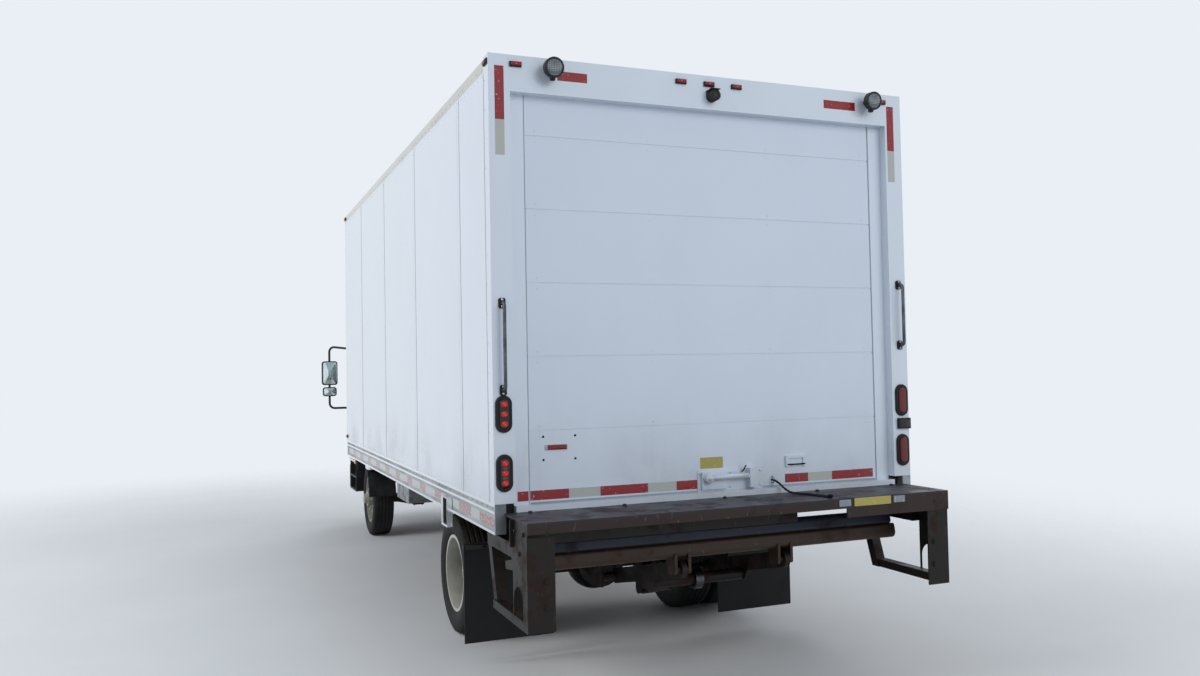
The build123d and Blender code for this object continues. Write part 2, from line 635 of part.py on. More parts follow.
def rear_axle():
    """Axle tube with the differential bowl and a spindle end for each pair of wheels."""
    z, tube_length, bowl_radius, cover_radius, nose_radius = TYRE_RADIUS, 1160.0, 205.0, 165.0, 90.0
    tube = rod("y", AXLE_TUBE_RADIUS, (REAR_AXLE_X, 0, z), tube_length)
    bowl = Pos(REAR_AXLE_X, 0, z) * Sphere(bowl_radius)
    cover = rod("x", cover_radius, (REAR_AXLE_X - bowl_radius + 2 * AXLE_TUBE_RADIUS / 2, 0, z), AXLE_TUBE_RADIUS)
    nose = rod("x", nose_radius, (REAR_AXLE_X + PINION[0], 0, z + PINION[2]), PINION[1])
    return tube + bowl + cover + nose + rod("y", REAR_SPINDLE_RADIUS, (REAR_AXLE_X, 0, z), 2 * REAR_SPINDLE_Y)


def leaf_spring(x, seat, leaves, half_length):
    """Leaf pack bowed down onto the axle seat, with a hanger at each end up to the frame rail."""
    shorter, hanger = 0.14, 60.0
    width = around(FRAME_MIDDLE_Y, SPRING_WIDTH)
    pack = Part()
    for k in range(leaves):
        reach = half_length * (1 - shorter * (leaves - 1 - k))
        ring = Pos(x, seat + k * LEAF + LEAF_BOW) * (Circle(LEAF_BOW) - Circle(LEAF_BOW - LEAF))
        strip = ring & (Pos(x, seat + LEAF_BOW / 4) * Rectangle(2 * reach, LEAF_BOW / 2 + 2 * CUT))
        pack += Pos(0, width[1], 0) * extrude(Plane.XZ * strip, SPRING_WIDTH)
    eye = seat + (leaves - 1) * LEAF + LEAF_BOW - math.sqrt(LEAF_BOW ** 2 - half_length ** 2)
    for end in (-1, 1):
        pack += block(around(x + end * half_length, hanger), width, (eye - LEAF, FRAME_BOTTOM))
    return pack


def spring_clamp(x, top, low, axle_half):
    """U-bolts from a pad on a spring at top down to a plate below the axle at low."""
    bolt_radius, plate, margin = 8.0, 14.0, 6.0
    bolt_x = axle_half + bolt_radius + margin
    bolt_y = SPRING_WIDTH / 2 + bolt_radius + 1.0
    pad = (x - bolt_x - 2 * bolt_radius, x + bolt_x + 2 * bolt_radius)
    width = around(FRAME_MIDDLE_Y, 2 * bolt_y + 4 * bolt_radius)
    shape = block(pad, width, (top, top + plate)) + block(pad, width, (low - plate, low))
    for side in (-1, 1):
        for end in (-1, 1):
            centre = (x + end * bolt_x, FRAME_MIDDLE_Y + side * bolt_y, (low - plate + top + plate) / 2)
            shape += rod("z", bolt_radius, centre, top - low + 2 * plate + 2 * margin)
    return shape


def leaf_springs():
    parts = []
    # station, leaves, their reach, top and foot of the axle, half its depth
    table = [(FRONT_AXLE_X, FRONT_LEAF_COUNT, FRONT_SPRING_REACH, BEAM_TOP, BEAM_TOP - BEAM_HEIGHT - BEAM_DROP,
              BEAM_DEPTH / 2),
             (REAR_AXLE_X, REAR_LEAF_COUNT, REAR_SPRING_REACH, TYRE_RADIUS + AXLE_TUBE_RADIUS,
              TYRE_RADIUS - AXLE_TUBE_RADIUS, AXLE_TUBE_RADIUS)]
    for x, leaves, reach, seat, low, axle_half in table:
        spring = leaf_spring(x, seat, leaves, reach)
        spring += spring_clamp(x, seat + leaves * LEAF, low, axle_half)
        parts += [*spring.solids(), *right(spring).solids()]
    return Compound(children=parts)


def wheel_revolve(points, x):
    """Ring turned about the axle at station x, from an outline of (radius, y) points."""
    face = Plane.YZ * make_face(Polyline(*[(y, r) for r, y in points], close=True))
    return Pos(x, 0, TYRE_RADIUS) * revolve(face, Axis.Y)


def tyre(x, y):
    """Tyre with rounded shoulders and bulged side walls."""
    half, inner = TYRE_WIDTH / 2, RIM_RADIUS + FIT
    bead = RIM_WIDTH / 2 - 20.0
    bulge, band = (TYRE_RADIUS + inner) / 2, 20.0
    quarter = [(inner, bead), (inner + 14, bead), (inner + 30, bead + 20), (bulge - band, half), (bulge + band, half),
               (TYRE_RADIUS - 28, half - 8), (TYRE_RADIUS - 6, half - 22), (TYRE_RADIUS, half - 46)]
    outline = [(r, -v) for r, v in quarter] + [(r, v) for r, v in reversed(quarter)]
    return Pos(0, y, 0) * wheel_revolve(outline, x)


def rim(x, y, disc_y):
    """Rim band with its disc at disc_y, which has hand holes round it."""
    half, r, t, lip = RIM_WIDTH / 2, RIM_RADIUS, RIM_WALL, RIM_RADIUS + RIM_FLANGE
    band = [(r - t, y - half), (lip, y - half), (lip, y - half + t), (r, y - half + t + 6),
            (r, y + half - t - 6), (lip, y + half - t), (lip, y + half), (r - t, y + half)]
    toward = DISC_DISH if disc_y > y else -DISC_DISH
    flat, edge, h = 0.6 * r, r - t + 1, DISC_THICKNESS / 2
    disc = [(SPINDLE_RADIUS, disc_y - h), (flat, disc_y - h), (edge, disc_y - h - toward),
            (edge, disc_y + h - toward), (flat, disc_y + h), (SPINDLE_RADIUS, disc_y + h)]
    shape = wheel_revolve(band, x) + wheel_revolve(disc, x)
    ring = (flat + edge) / 2
    for i in range(HAND_HOLES):
        angle = math.tau * i / HAND_HOLES
        centre = (x + ring * math.cos(angle), disc_y, TYRE_RADIUS + ring * math.sin(angle))
        shape -= rod("y", HAND_HOLE_RADIUS, centre, 4 * DISC_DISH)
    return shape


def front_wheel():
    """Left front wheel: rim, disc and hub on the spindle."""
    x, y = FRONT_AXLE_X, FRONT_TRACK_HALF
    disc_y, hub_radius, hub_length, cap_radius, cap_length = 70.0, 85.0, 130.0, 55.0, 40.0
    hub = rod("y", hub_radius, (x, y + disc_y - 10, TYRE_RADIUS), hub_length)
    cap = rod("y", cap_radius, (x, y + disc_y - 10 + (hub_length + cap_length) / 2 - SINK, TYRE_RADIUS), cap_length)
    wheel = rim(x, y, y + disc_y) + hub + cap
    bore = (KINGPIN_Y - CUT, KINGPIN_Y + SPINDLE_END + FIT)
    return wheel - rod("y", SPINDLE_RADIUS + FIT, (x, sum(bore) / 2, TYRE_RADIUS), bore[1] - bore[0])


def front_tyre():
    return tyre(FRONT_AXLE_X, FRONT_TRACK_HALF)


def rear_wheels():
    """Left twin wheels: two rims with their discs back to back on one hub."""
    x, mate, h = REAR_AXLE_X, REAR_OUTER_Y - DUAL_SPACING / 2, DISC_THICKNESS / 2
    hub_radius, hub_length, cap_radius, cap_end = 110.0, 180.0, 75.0, 150.0
    shape = rim(x, REAR_OUTER_Y, mate + h) + rim(x, REAR_OUTER_Y - DUAL_SPACING, mate - h)
    shape += rod("y", hub_radius, (x, mate + 20, TYRE_RADIUS), hub_length)
    shape += rod("y", cap_radius, (x, mate + cap_end / 2, TYRE_RADIUS), cap_end)
    bore = (mate - hub_length - CUT, REAR_SPINDLE_Y + FIT)
    return shape - rod("y", REAR_SPINDLE_RADIUS + FIT, (x, sum(bore) / 2, TYRE_RADIUS), bore[1] - bore[0])


def rear_tyres():
    return separate([tyre(REAR_AXLE_X, REAR_OUTER_Y), tyre(REAR_AXLE_X, REAR_OUTER_Y - DUAL_SPACING)])


# Cab

def cab_solid(inset):
    """Outer form of the cab moved inwards by inset: what its side, end and plan outlines have in common."""
    i, low = inset, CAB_HEM - CUT
    w = CAB_HALF_WIDTH - i
    nose = (CAB_FRONT - i, BELT - NOSE_DROP)
    cowl, brow = CAB_FRONT - COWL_SETBACK - i, CAB_FRONT - BROW_SETBACK - i
    side = [(CAB_BACK + i, low), (CAB_BACK + i, CAB_TOP - i), (brow, CAB_TOP - i), (cowl, BELT), nose, (nose[0], low)]
    end = [(-w, low), (-w, BELT), (-w + SIDE_LEAN, CAB_TOP - i), (w - SIDE_LEAN, CAB_TOP - i), (w, BELT), (w, low)]
    roof = ROOF_RADIUS - i
    shape = side_prism(side, (-w - CUT, w + CUT), [0, roof, roof, 0, NOSE_RADIUS - i, 0])
    shape &= end_prism(end, (CAB_BACK - CUT, CAB_FRONT + CUT), [0, 0, roof, roof, 0, 0])
    plan = corners((CAB_BACK + i, CAB_FRONT - i), (-w, w))
    return shape & plan_prism(plan, (low - CUT, CAB_TOP + CUT), CAB_CORNER - i)


def cab_shell():
    return cab_solid(0) - cab_solid(CAB_WALL)


ARCH_TOP = TYRE_RADIUS + ARCH_RADIUS + 40.0
DOOR_REAR = FRONT_AXLE_X - 25.0
DOOR_FRONT = DOOR_HINGE_X - 3.0
DOOR_TOP = CAB_TOP - 140.0
DOOR_FOOT = CAB_HEM + 30.0
PILLAR_TOP_X = CAB_FRONT - BROW_SETBACK - 35.0
WINDOW_FRAME = 80.0
WINDOW_SILL = BELT + 30.0
DOOR_OUTLINE = [(DOOR_REAR, ARCH_TOP), (DOOR_REAR + 480, ARCH_TOP), (DOOR_REAR + 575, DOOR_FOOT),
                (DOOR_FRONT, DOOR_FOOT), (DOOR_FRONT, BELT), (PILLAR_TOP_X, DOOR_TOP), (DOOR_REAR, DOOR_TOP)]
WINDOW_OUTLINE = [(DOOR_REAR + WINDOW_FRAME, WINDOW_SILL), (DOOR_FRONT - WINDOW_FRAME, WINDOW_SILL),
                  (PILLAR_TOP_X - 60, DOOR_TOP - WINDOW_FRAME), (DOOR_REAR + WINDOW_FRAME, DOOR_TOP - WINDOW_FRAME)]
SCREEN_INSET = 220.0
SCREEN_Z = (BELT + 50.0, CAB_TOP - 160.0)
WINDSHIELD = [(-CAB_HALF_WIDTH + SCREEN_INSET, SCREEN_Z[0]), (CAB_HALF_WIDTH - SCREEN_INSET, SCREEN_Z[0]),
              (CAB_HALF_WIDTH - SCREEN_INSET - 30, SCREEN_Z[1]), (-CAB_HALF_WIDTH + SCREEN_INSET + 30, SCREEN_Z[1])]
REAR_WINDOW = corners((-420.0, 420.0), (BELT + 170.0, CAB_TOP - 240.0))
PANE_CORNER = 40.0
SCREEN_X = (CAB_FRONT - BROW_SETBACK - 190.0, CAB_FRONT + CUT)
BACK_X = (CAB_BACK - CUT, CAB_BACK + PANEL_DEPTH + CUT)
WHOLE_Y = (-CAB_HALF_WIDTH - CUT, CAB_HALF_WIDTH + CUT)
FACE_BACK = CAB_FRONT - 200.0      # where the front panel meets the cab's sides


def side_region(points, grow=0.0, radius=0.0):
    """Left-hand block whose side view is the outline of (x, z) points, grown outwards by grow."""
    face = face_of(points, radius)
    if grow:
        face = offset(face, grow, kind=Kind.INTERSECTION)
    return Pos(0, CAB_HALF_WIDTH + CUT, 0) * extrude(Plane.XZ * face, SCREEN_INSET)


def glass_layer():
    return cab_solid(GLASS[0]) - cab_solid(GLASS[1])


def cab_roof(shell):
    return shell & block((CAB_BACK - CUT, CAB_FRONT), WHOLE_Y, (ROOF_SEAM, CAB_TOP + CUT))


def cab_back_panel(shell):
    panel = shell & block((CAB_BACK - CUT, CAB_BACK + PANEL_DEPTH), WHOLE_Y, (CAB_FLOOR, ROOF_SEAM))
    return panel - end_prism(REAR_WINDOW, BACK_X, PANE_CORNER)


def grille_opening(clearance=0.0):
    """Block of the grille's opening in the front panel, made smaller by the clearance."""
    half, low, high = GRILLE
    c = clearance
    return end_prism(corners((-half + c, half - c), (CAB_HEM + low + c, CAB_HEM + high - c)),
                     (CAB_FRONT - CAB_WALL - CUT, CAB_FRONT + CUT), CAB_WALL / 2)


def lamp_opening(clearance=0.0):
    """Block of the left headlamp's opening in the front panel, made smaller by the clearance."""
    inner, outer, low, high = LAMP_BAY
    c = clearance
    return end_prism(corners((inner + c, outer - c), (CAB_HEM + low + c, CAB_HEM + high - c)),
                     (CAB_FRONT - CAB_WALL - CUT, CAB_FRONT + CUT), CAB_WALL / 2)


def cab_front_panel(shell):
    """Front panel with its grille and headlamp openings and a raised moulding below the windshield."""
    panel = shell & block((FACE_BACK, CAB_FRONT + CUT), WHOLE_Y, (CAB_HEM, BELT))
    slot_half, slot_z, slot_depth = 640.0, (380.0, 430.0), 20.0
    slot = end_prism(corners((-slot_half, slot_half), (CAB_HEM + slot_z[0], CAB_HEM + slot_z[1])),
                     (CAB_FRONT - slot_depth, CAB_FRONT + CUT), slot_depth)
    lamp = lamp_opening()
    return panel - grille_opening() - lamp - right(lamp) - slot


def grille():
    """Frame with cross bars in the front panel's opening."""
    half, low, high = GRILLE
    bars, bar, frame = 4, 16.0, 18.0
    front, back = CAB_FRONT + SINK, CAB_FRONT - CAB_WALL
    body = grille_opening(FIT) & block((back, front), WHOLE_Y, (CAB_HEM, BELT))
    inside = corners((-half + frame, half - frame), (CAB_HEM + low + frame, CAB_HEM + high - frame))
    shape = body - end_prism(inside, (back - CUT, front + CUT), frame / 2)
    pitch = (high - low - 2 * frame) / (bars + 1)
    for i in range(bars):
        z = CAB_HEM + low + frame + (i + 1) * pitch
        shape += block((back + frame, front - SINK), (-half + frame / 2, half - frame / 2), around(z, bar))
    for y in around(0, half):
        shape += block((back, back + frame), around(y, bar), (CAB_HEM + low + frame / 2, CAB_HEM + high - frame / 2))
    return shape


def cab_side(shell):
    """Left side: panel behind the door, sill, and pillar in front of it."""
    side = shell & block((CAB_BACK + PANEL_DEPTH, CAB_FRONT), (WINDSHIELD[1][0] - 2 * CUT, WHOLE_Y[1]),
                         (CAB_HEM, ROOF_SEAM))
    side -= block((FACE_BACK, CAB_FRONT + CUT), (0, WHOLE_Y[1]), (CAB_HEM - CUT, BELT))
    side -= side_region(DOOR_OUTLINE, DOOR_GAP)
    side -= rod("y", ARCH_RADIUS + FIT, (FRONT_AXLE_X, CAB_HALF_WIDTH, TYRE_RADIUS), 2 * SCREEN_INSET)
    side -= end_prism(WINDSHIELD, SCREEN_X, PANE_CORNER)
    knuckle, gap = 78.0, 6.0
    for rise in HINGE_Z:
        centre = (DOOR_HINGE_X, CAB_HALF_WIDTH, CAB_FLOOR + rise)
        side -= rod("z", HINGE_RADIUS + gap, centre, knuckle + 2 * gap)
        side += rod("z", HINGE_PIN_RADIUS, centre, knuckle + 2 * gap + SINK)
    return side


def cab_sides(shell):
    return both(cab_side(shell))


def door(shell):
    """Left door with its window cut out, two hinge eyes at its front edge and a handle over a hand recess."""
    knuckle = 78.0
    panel = (shell & side_region(DOOR_OUTLINE)) - side_region(WINDOW_OUTLINE, radius=PANE_CORNER)
    for rise in HINGE_Z:
        centre = (DOOR_HINGE_X, CAB_HALF_WIDTH, CAB_FLOOR + rise)
        panel += rod("z", HINGE_RADIUS, centre, knuckle)
        panel -= rod("z", HINGE_PIN_RADIUS + FIT, centre, 2 * knuckle)
    recess_x, recess_z, recess_depth, bar, overlap = (60.0, 230.0), (-115.0, -45.0), 24.0, 22.0, 14.0
    x = (DOOR_REAR + recess_x[0], DOOR_REAR + recess_x[1])
    outline = corners(x, (BELT + recess_z[0], BELT + recess_z[1]))
    recess = side_prism(outline, (CAB_HALF_WIDTH - recess_depth, CAB_HALF_WIDTH + CUT), bar)
    grip_y = (CAB_HALF_WIDTH - recess_depth / 3, CAB_HALF_WIDTH + recess_depth / 2)
    grip = block((x[0] - overlap, x[1] + overlap), grip_y, around(BELT + sum(recess_z) / 2, bar))
    return panel - recess + grip


def door_glass():
    return glass_layer() & side_region(WINDOW_OUTLINE, -FIT, PANE_CORNER)


def cab_glass():
    """Windshield and rear window."""
    layer = glass_layer()
    return separate([layer & end_prism(WINDSHIELD, SCREEN_X, PANE_CORNER),
                     layer & end_prism(REAR_WINDOW, BACK_X, PANE_CORNER)])


SEAT_SIDE = CAB_HALF_WIDTH - 140.0
SEAT_Y = ((SEAT_SIDE - 500.0, SEAT_SIDE), (-SEAT_SIDE, SEAT_SIDE - 600.0))     # driver's seat, passengers' bench
SEAT_BASE_RISE = 280.0                         # from the cab floor


def cab_floor():
    """Floor with the engine tunnel, the seats' stands and the two ears that ride on the pivot tube."""
    inner, top = CAB_HALF_WIDTH - CAB_WALL, CAB_FLOOR + FLOOR_SHEET
    back, front = CAB_BACK + CAB_WALL, CAB_FRONT - CAB_WALL
    setback, length, width, _, rise = ENGINE
    room, sheet = 30.0, 30.0
    tunnel_half = width / 2 + room
    tunnel_top, tunnel_front = CAB_FLOOR + rise + 70.0, CAB_BACK + setback + length + 140.0
    hollow = block((CAB_BACK, tunnel_front), (-tunnel_half, tunnel_half), (CAB_FLOOR - CUT, tunnel_top))
    floor = block((back, front), (-inner, inner), (CAB_FLOOR, top))
    floor += block((back, tunnel_front + sheet), (-tunnel_half - sheet, tunnel_half + sheet),
                   (CAB_FLOOR, tunnel_top + sheet))
    riser_x = (DOOR_REAR - 180.0, DOOR_REAR + 340.0)
    for sign in (-1, 1):
        y = sorted((sign * (tunnel_half + sheet + room), sign * (SEAT_SIDE - room)))
        floor += block(riser_x, y, (top - SINK, CAB_FLOOR + SEAT_BASE_RISE))
    floor -= hollow
    corner = CAB_CORNER - CAB_WALL
    floor &= plan_prism(corners((back, front), (-inner, inner)), (CAB_FLOOR - CUT, BELT), corner)
    x, z = CAB_PIVOT
    ear_y, ear_radius, ear_thickness = 215.0, 45.0, 30.0
    for side in (-1, 1):
        y = side * ear_y
        ear = rod("y", ear_radius, (x, y, z), ear_thickness)
        ear += block((x - ear_radius, x + ear_radius / 2), around(y, ear_thickness), (z, CAB_FLOOR + SINK))
        floor += ear - rod("y", PIVOT_RADIUS + FIT, (x, y, z), 2 * ear_thickness)
    return floor


def front_fenders():
    """Moulded arch over each front wheel, with the cab step in front of it."""
    inner_y, outer_y = CAB_HALF_WIDTH - 300.0, CAB_HALF_WIDTH - 10.0
    sheet, reach_up = 8.0, 420.0
    ring = Pos(FRONT_AXLE_X, TYRE_RADIUS) * (Circle(ARCH_RADIUS) - Circle(ARCH_RADIUS - sheet))
    kept = Rectangle(3 * ARCH_RADIUS, reach_up + 2 * sheet)
    ring &= Pos(FRONT_AXLE_X, TYRE_RADIUS + ARCH_RADIUS - reach_up / 2) * kept
    arch = Pos(0, outer_y, 0) * extrude(Plane.XZ * ring, outer_y - inner_y)
    step_x, step_y = (FRONT_AXLE_X + 495.0, CAB_FRONT - 220.0), (CAB_HALF_WIDTH - 200.0, outer_y)
    step_z, step_sheet, wall_sheet, wall_top = CAB_HEM - 340.0, 20.0, 10.0, CAB_HEM - 10.0
    step = block(step_x, step_y, (step_z, step_z + step_sheet))
    step += block(step_x, (step_y[0], step_y[0] + wall_sheet), (step_z, CAB_FLOOR))
    for x in (step_x[0], step_x[1] - wall_sheet):
        step += block((x, x + wall_sheet), step_y, (step_z, wall_top))
    step += block(step_x, step_y, around((step_z + wall_top) / 2, step_sheet))
    return both(arch + step)


def dashboard():
    """Dashboard between the front corners, with a rounded edge towards the seats."""
    front, half = CAB_FRONT - CAB_WALL, CAB_HALF_WIDTH - CAB_CORNER - SINK
    low, sill = CAB_FLOOR + 245.0, BELT - 50.0
    outline = [(front, low), (front - 375, low), (front - 435, low + 180), (front - 355, sill), (front - 55, sill),
               (front, sill - 90)]
    return side_prism(outline, (-half, half), [0, 20, 40, 30, 0, 0])


def steering_wheel():
    """Wheel on its column, which stands on the floor."""
    ring_radius, grip, hub_radius, spoke, column_radius, column_length = 205.0, 14.0, 45.0, 30.0, 24.0, 620.0
    setback, height, rake, y = 610.0, 535.0, 25.0, sum(SEAT_Y[0]) / 2 - 210.0
    ring = Torus(ring_radius, grip) + Cylinder(hub_radius, spoke)
    ring += Box(2 * ring_radius, spoke, grip) + Box(spoke, 2 * ring_radius, grip)
    column = Pos(0, 0, -column_length / 2) * Cylinder(column_radius, column_length)
    placed = Pos(CAB_FRONT - setback, y, CAB_FLOOR + height) * Rot(0, -rake, 0) * (ring + column)
    floor_top = CAB_FLOOR + FLOOR_SHEET
    return placed - block((CAB_BACK, CAB_FRONT), around(y, 4 * hub_radius), (floor_top - column_length, floor_top))


def seats():
    """Driver's seat and passengers' bench, with head rests."""
    base = CAB_FLOOR + SEAT_BASE_RISE
    x = DOOR_REAR - 210.0
    back = [(x, base), (x, base + 145), (x - 70, base + 640), (x + 30, base + 640), (x + 120, base + 155),
            (x + 570, base + 165), (x + 590, base + 55), (x + 570, base)]
    rest = [(x - 80, base + 660), (x - 100, base + 830), (x - 10, base + 830), (x, base + 660)]
    rest_width, stem_radius = 230.0, 7.0
    parts = []
    for y in SEAT_Y:
        seat = side_prism(back, y, [20, 60, 35, 45, 60, 40, 30, 20])
        for place in (0.5,) if y[1] - y[0] < 3 * rest_width else (0.25, 0.75):
            middle = y[0] + place * (y[1] - y[0])
            seat += side_prism(rest, around(middle, rest_width), 30)
            for offset_y in around(middle, rest_width / 2):
                seat += rod("z", stem_radius, (x - 30, offset_y, base + 655), 90)
        parts.append(seat)
    return separate(parts)


def headlamps():
    """Lamp bodies that fill the front panel's openings, with a rounded lens."""
    proud = 14.0
    lamp = lamp_opening(FIT) & block((CAB_FRONT - CAB_WALL, CAB_FRONT + proud), WHOLE_Y, (CAB_HEM, BELT))
    front = lamp.faces().sort_by(Axis.X)[-1]
    return both(fillet(front.edges(), proud / 2))


def mirrors():
    """Mirror heads on a bent tube loop at each front corner."""
    x, y, tube, bend = CAB_FRONT - 170.0, CAB_HALF_WIDTH + 220.0, 13.0, 60.0
    high, low = CAB_TOP - 150.0, BELT - 85.0
    points = [(x - 200, CAB_HALF_WIDTH - 60, high - 40), (x, y, high), (x, y, low), (x, CAB_HALF_WIDTH - 10, low)]
    shape = pipe(points, tube, bend) - cab_solid(0)
    heads = [(180.0, 195.0, 483.0, 80.0), (160.0, 60.0, 170.0, 60.0)]    # width, bottom and top above the belt, depth
    for width, bottom, top, depth in heads:
        outline = corners(around(y, width), (BELT + bottom, BELT + top))
        head = end_prism(outline, around(x, depth), 30)
        front = head.faces().sort_by(Axis.X)[-1]
        shape += fillet(front.edges(), depth / 4)
    return both(shape)


def front_bumper():
    """Steel bumper with swept-back ends and an air slot, on two plates outside the frame rails."""
    back, corner, wall, reach = FACE_BACK, 150.0, 6.0, 200.0
    high, low = CAB_HEM - BUMPER_BAND[0], CAB_HEM - BUMPER_BAND[1]
    half = CAB_HALF_WIDTH - BUMPER_INSET
    outer = plan_prism(corners((back - reach, BUMPER_FRONT), (-half, half)), (low, high), corner)
    inner = corners((back - reach - CUT, BUMPER_FRONT - wall), (-half + wall, half - wall))
    shape = outer - plan_prism(inner, (low - CUT, high + CUT), corner - wall)
    shape &= block((back, BUMPER_FRONT + CUT), (-half - CUT, half + CUT), (low, high))
    slot_half, slot_z, slot_radius = 330.0, (80.0, 160.0), 20.0
    slot = corners((-slot_half, slot_half), (low + slot_z[0], low + slot_z[1]))
    shape -= end_prism(slot, (BUMPER_FRONT - reach, BUMPER_FRONT + CUT), slot_radius)
    fog_y, fog_radius = 700.0, 48.0
    for side in (-1, 1):
        shape -= rod("x", fog_radius, (BUMPER_FRONT, side * fog_y, low + sum(slot_z) / 2), 4 * CUT)
    plate_back, plate_sheet, step = FACE_BACK - 150.0, 12.0, 70.0
    nose = BUMPER_FRONT - wall / 2
    plate = side_prism([(plate_back, low + step), (nose, low + step), (nose, high - 25), (nose - 85, high - 25),
                        (nose - 97, high + step), (plate_back, high + step)],
                       (FRAME_HALF_WIDTH, FRAME_HALF_WIDTH + plate_sheet))
    return shape + plate + right(plate)


# Liftgate

def dock_plate():
    """Steel plate behind the door sill, with a folded-down rear edge that is deeper at the right."""
    fold, shallow, deep, deep_end = 8.0, 55.0, 105.0, 560.0
    plate = block((-PLATE_REACH, 0), (-GUARD_Y, GUARD_Y), (PLATE_TOP - PLATE_SHEET, PLATE_TOP))
    plate += block((-PLATE_REACH, -PLATE_REACH + fold), (-GUARD_Y, GUARD_Y), (PLATE_TOP - shallow, PLATE_TOP))
    return plate + block((-PLATE_REACH, -PLATE_REACH + fold), (-GUARD_Y, -deep_end), (PLATE_TOP - deep, PLATE_TOP))


def side_guard():
    """Left guard: cheek plate with an arched cut-out, rear face, foot bar, upper bar and slanting stay."""
    rear, low, high = GUARD_REAR, GUARD_BOTTOM, PLATE_TOP - PLATE_SHEET
    cheek_depth, bar, bar_width = 230.0, 45.0, 60.0
    arch_x, arch_radius = (70.0, 220.0), 75.0
    cheek = block((rear, rear + cheek_depth), (GUARD_Y - GUARD_SHEET, GUARD_Y), (low, high))
    arch = corners((rear + arch_x[0], rear + arch_x[1]), (low + bar, low + bar + arch_radius))
    cheek -= side_prism(arch, (GUARD_Y - CUT, GUARD_Y + CUT))
    cheek -= rod("y", arch_radius, (rear + sum(arch_x) / 2, GUARD_Y, low + bar + arch_radius), 2 * CUT + GUARD_SHEET)
    face = block((rear, rear + GUARD_SHEET), (GUARD_Y - POST_FACE, GUARD_Y), (low, high - 60))
    bolt_radius, bolt_inset, bolt_z = 11.0, 42.0, (115.0, 240.0, 465.0)
    for z in bolt_z:
        face -= rod("x", bolt_radius, (rear, GUARD_Y - POST_FACE + bolt_inset, low + z), 4 * GUARD_SHEET)
    foot_end, stay_width = 230.0, 60.0
    foot = block((rear, foot_end), (GUARD_Y - bar_width, GUARD_Y), (low, low + bar))
    top_x = around(BEARER_FIRST, stay_width)
    stay = side_prism([(foot_end - stay_width, low), (foot_end, low), (top_x[1], SILL_TOP), (top_x[0], SILL_TOP)],
                      (GUARD_Y - bar_width - 10, HALF_BOX - RAIL_DEPTH))
    upper_z = (low + 320.0, low + 390.0)
    upper = block((rear + cheek_depth - 5, BEARER_FIRST - 35), (GUARD_Y - bar_width, GUARD_Y), upper_z)
    return cheek + face + foot + stay + upper


def side_guards():
    return both(side_guard())


def lift_frame():
    """Plates on the rail ends with the arm pivot tube, the cylinder's cross beam and its ears."""
    x, z = ARM_PIVOT
    rear, front, sheet = x - 60.0, x + 340.0, 15.0
    outline = [(rear, z - 50), (front, z + 20), (front, FRAME_TOP - 10), (FRAME_REAR + 10, FRAME_TOP - 10),
               (rear, z + 80)]
    plate = side_prism(outline, (FRAME_HALF_WIDTH, FRAME_HALF_WIDTH + sheet))
    shape = plate + right(plate) + rod("y", PIVOT_RADIUS, (x, 0, z), 2 * FRAME_HALF_WIDTH + sheet)
    cx, cz = CYLINDER_BASE
    beam_x, beam_z = (cx - 50.0, cx + 30.0), (z + 40.0, z + 120.0)
    half = FRAME_HALF_WIDTH + sheet / 2
    shape += block(beam_x, (-half, half), beam_z)
    ear_y, ear_sheet, ear_radius = 62.0, 16.0, 35.0
    for y in (-ear_y, ear_y):
        ear = side_prism([(beam_x[0], beam_z[0] + SINK), (cx - ear_radius, cz), (cx + ear_radius, cz),
                          (beam_x[1], beam_z[0] + SINK)], around(y, ear_sheet))
        shape += ear + rod("y", ear_radius, (cx, y, cz), ear_sheet)
    return shape + rod("y", ARM_PIN_RADIUS, (cx, 0, cz), 2 * ear_y + CUT)


def arm_bar(start, end, height, y):
    """Flat bar between two (x, z) points with round ends."""
    (dx, dz), _ = direction(start, end)
    nx, nz = -dz * height / 2, dx * height / 2
    points = [(start[0] + nx, start[1] + nz), (end[0] + nx, end[1] + nz), (end[0] - nx, end[1] - nz),
              (start[0] - nx, start[1] - nz)]
    bar = side_prism(points, y)
    for x, z in (start, end):
        bar += rod("y", height / 2, (x, sum(y) / 2, z), y[1] - y[0])
    return bar


def tie_point():
    """Point of the arms' tie tube, under their middle, which the cylinder's rod pushes on."""
    x, z = (a + ARM_TIE * (b - a) for a, b in zip(ARM_PIVOT, ARM_END))
    return x, z - TIE_DROP


def lift_arms():
    """Two arms on the pivot tube, tied together by a tube through their gussets."""
    y = around(ARM_Y, ARM_THICK)
    arm = arm_bar(ARM_PIVOT, ARM_END, ARM_HEIGHT, y)
    x, z = tie_point()
    gusset_top, gusset_foot, gusset_drop = 90.0, 40.0, 30.0
    arm += side_prism([(x - gusset_top, z + TIE_DROP), (x - gusset_foot, z - gusset_drop),
                       (x + gusset_foot, z - gusset_drop), (x + gusset_top, z + TIE_DROP)], y)
    shape = arm + right(arm) + rod("y", TIE_RADIUS, (x, 0, z), 2 * ARM_Y)
    boss_length, boss_radius = 50.0, 42.0
    for side in (-1, 1):
        shape += rod("y", boss_radius, (ARM_PIVOT[0], side * (ARM_Y - ARM_THICK / 2), ARM_PIVOT[1]), boss_length)
    shape -= rod("y", PIVOT_RADIUS + FIT, (ARM_PIVOT[0], 0, ARM_PIVOT[1]), 2 * FRAME_HALF_WIDTH)
    return shape - rod("y", ARM_PIN_RADIUS + FIT, (ARM_END[0], 0, ARM_END[1]), 2 * FRAME_HALF_WIDTH)


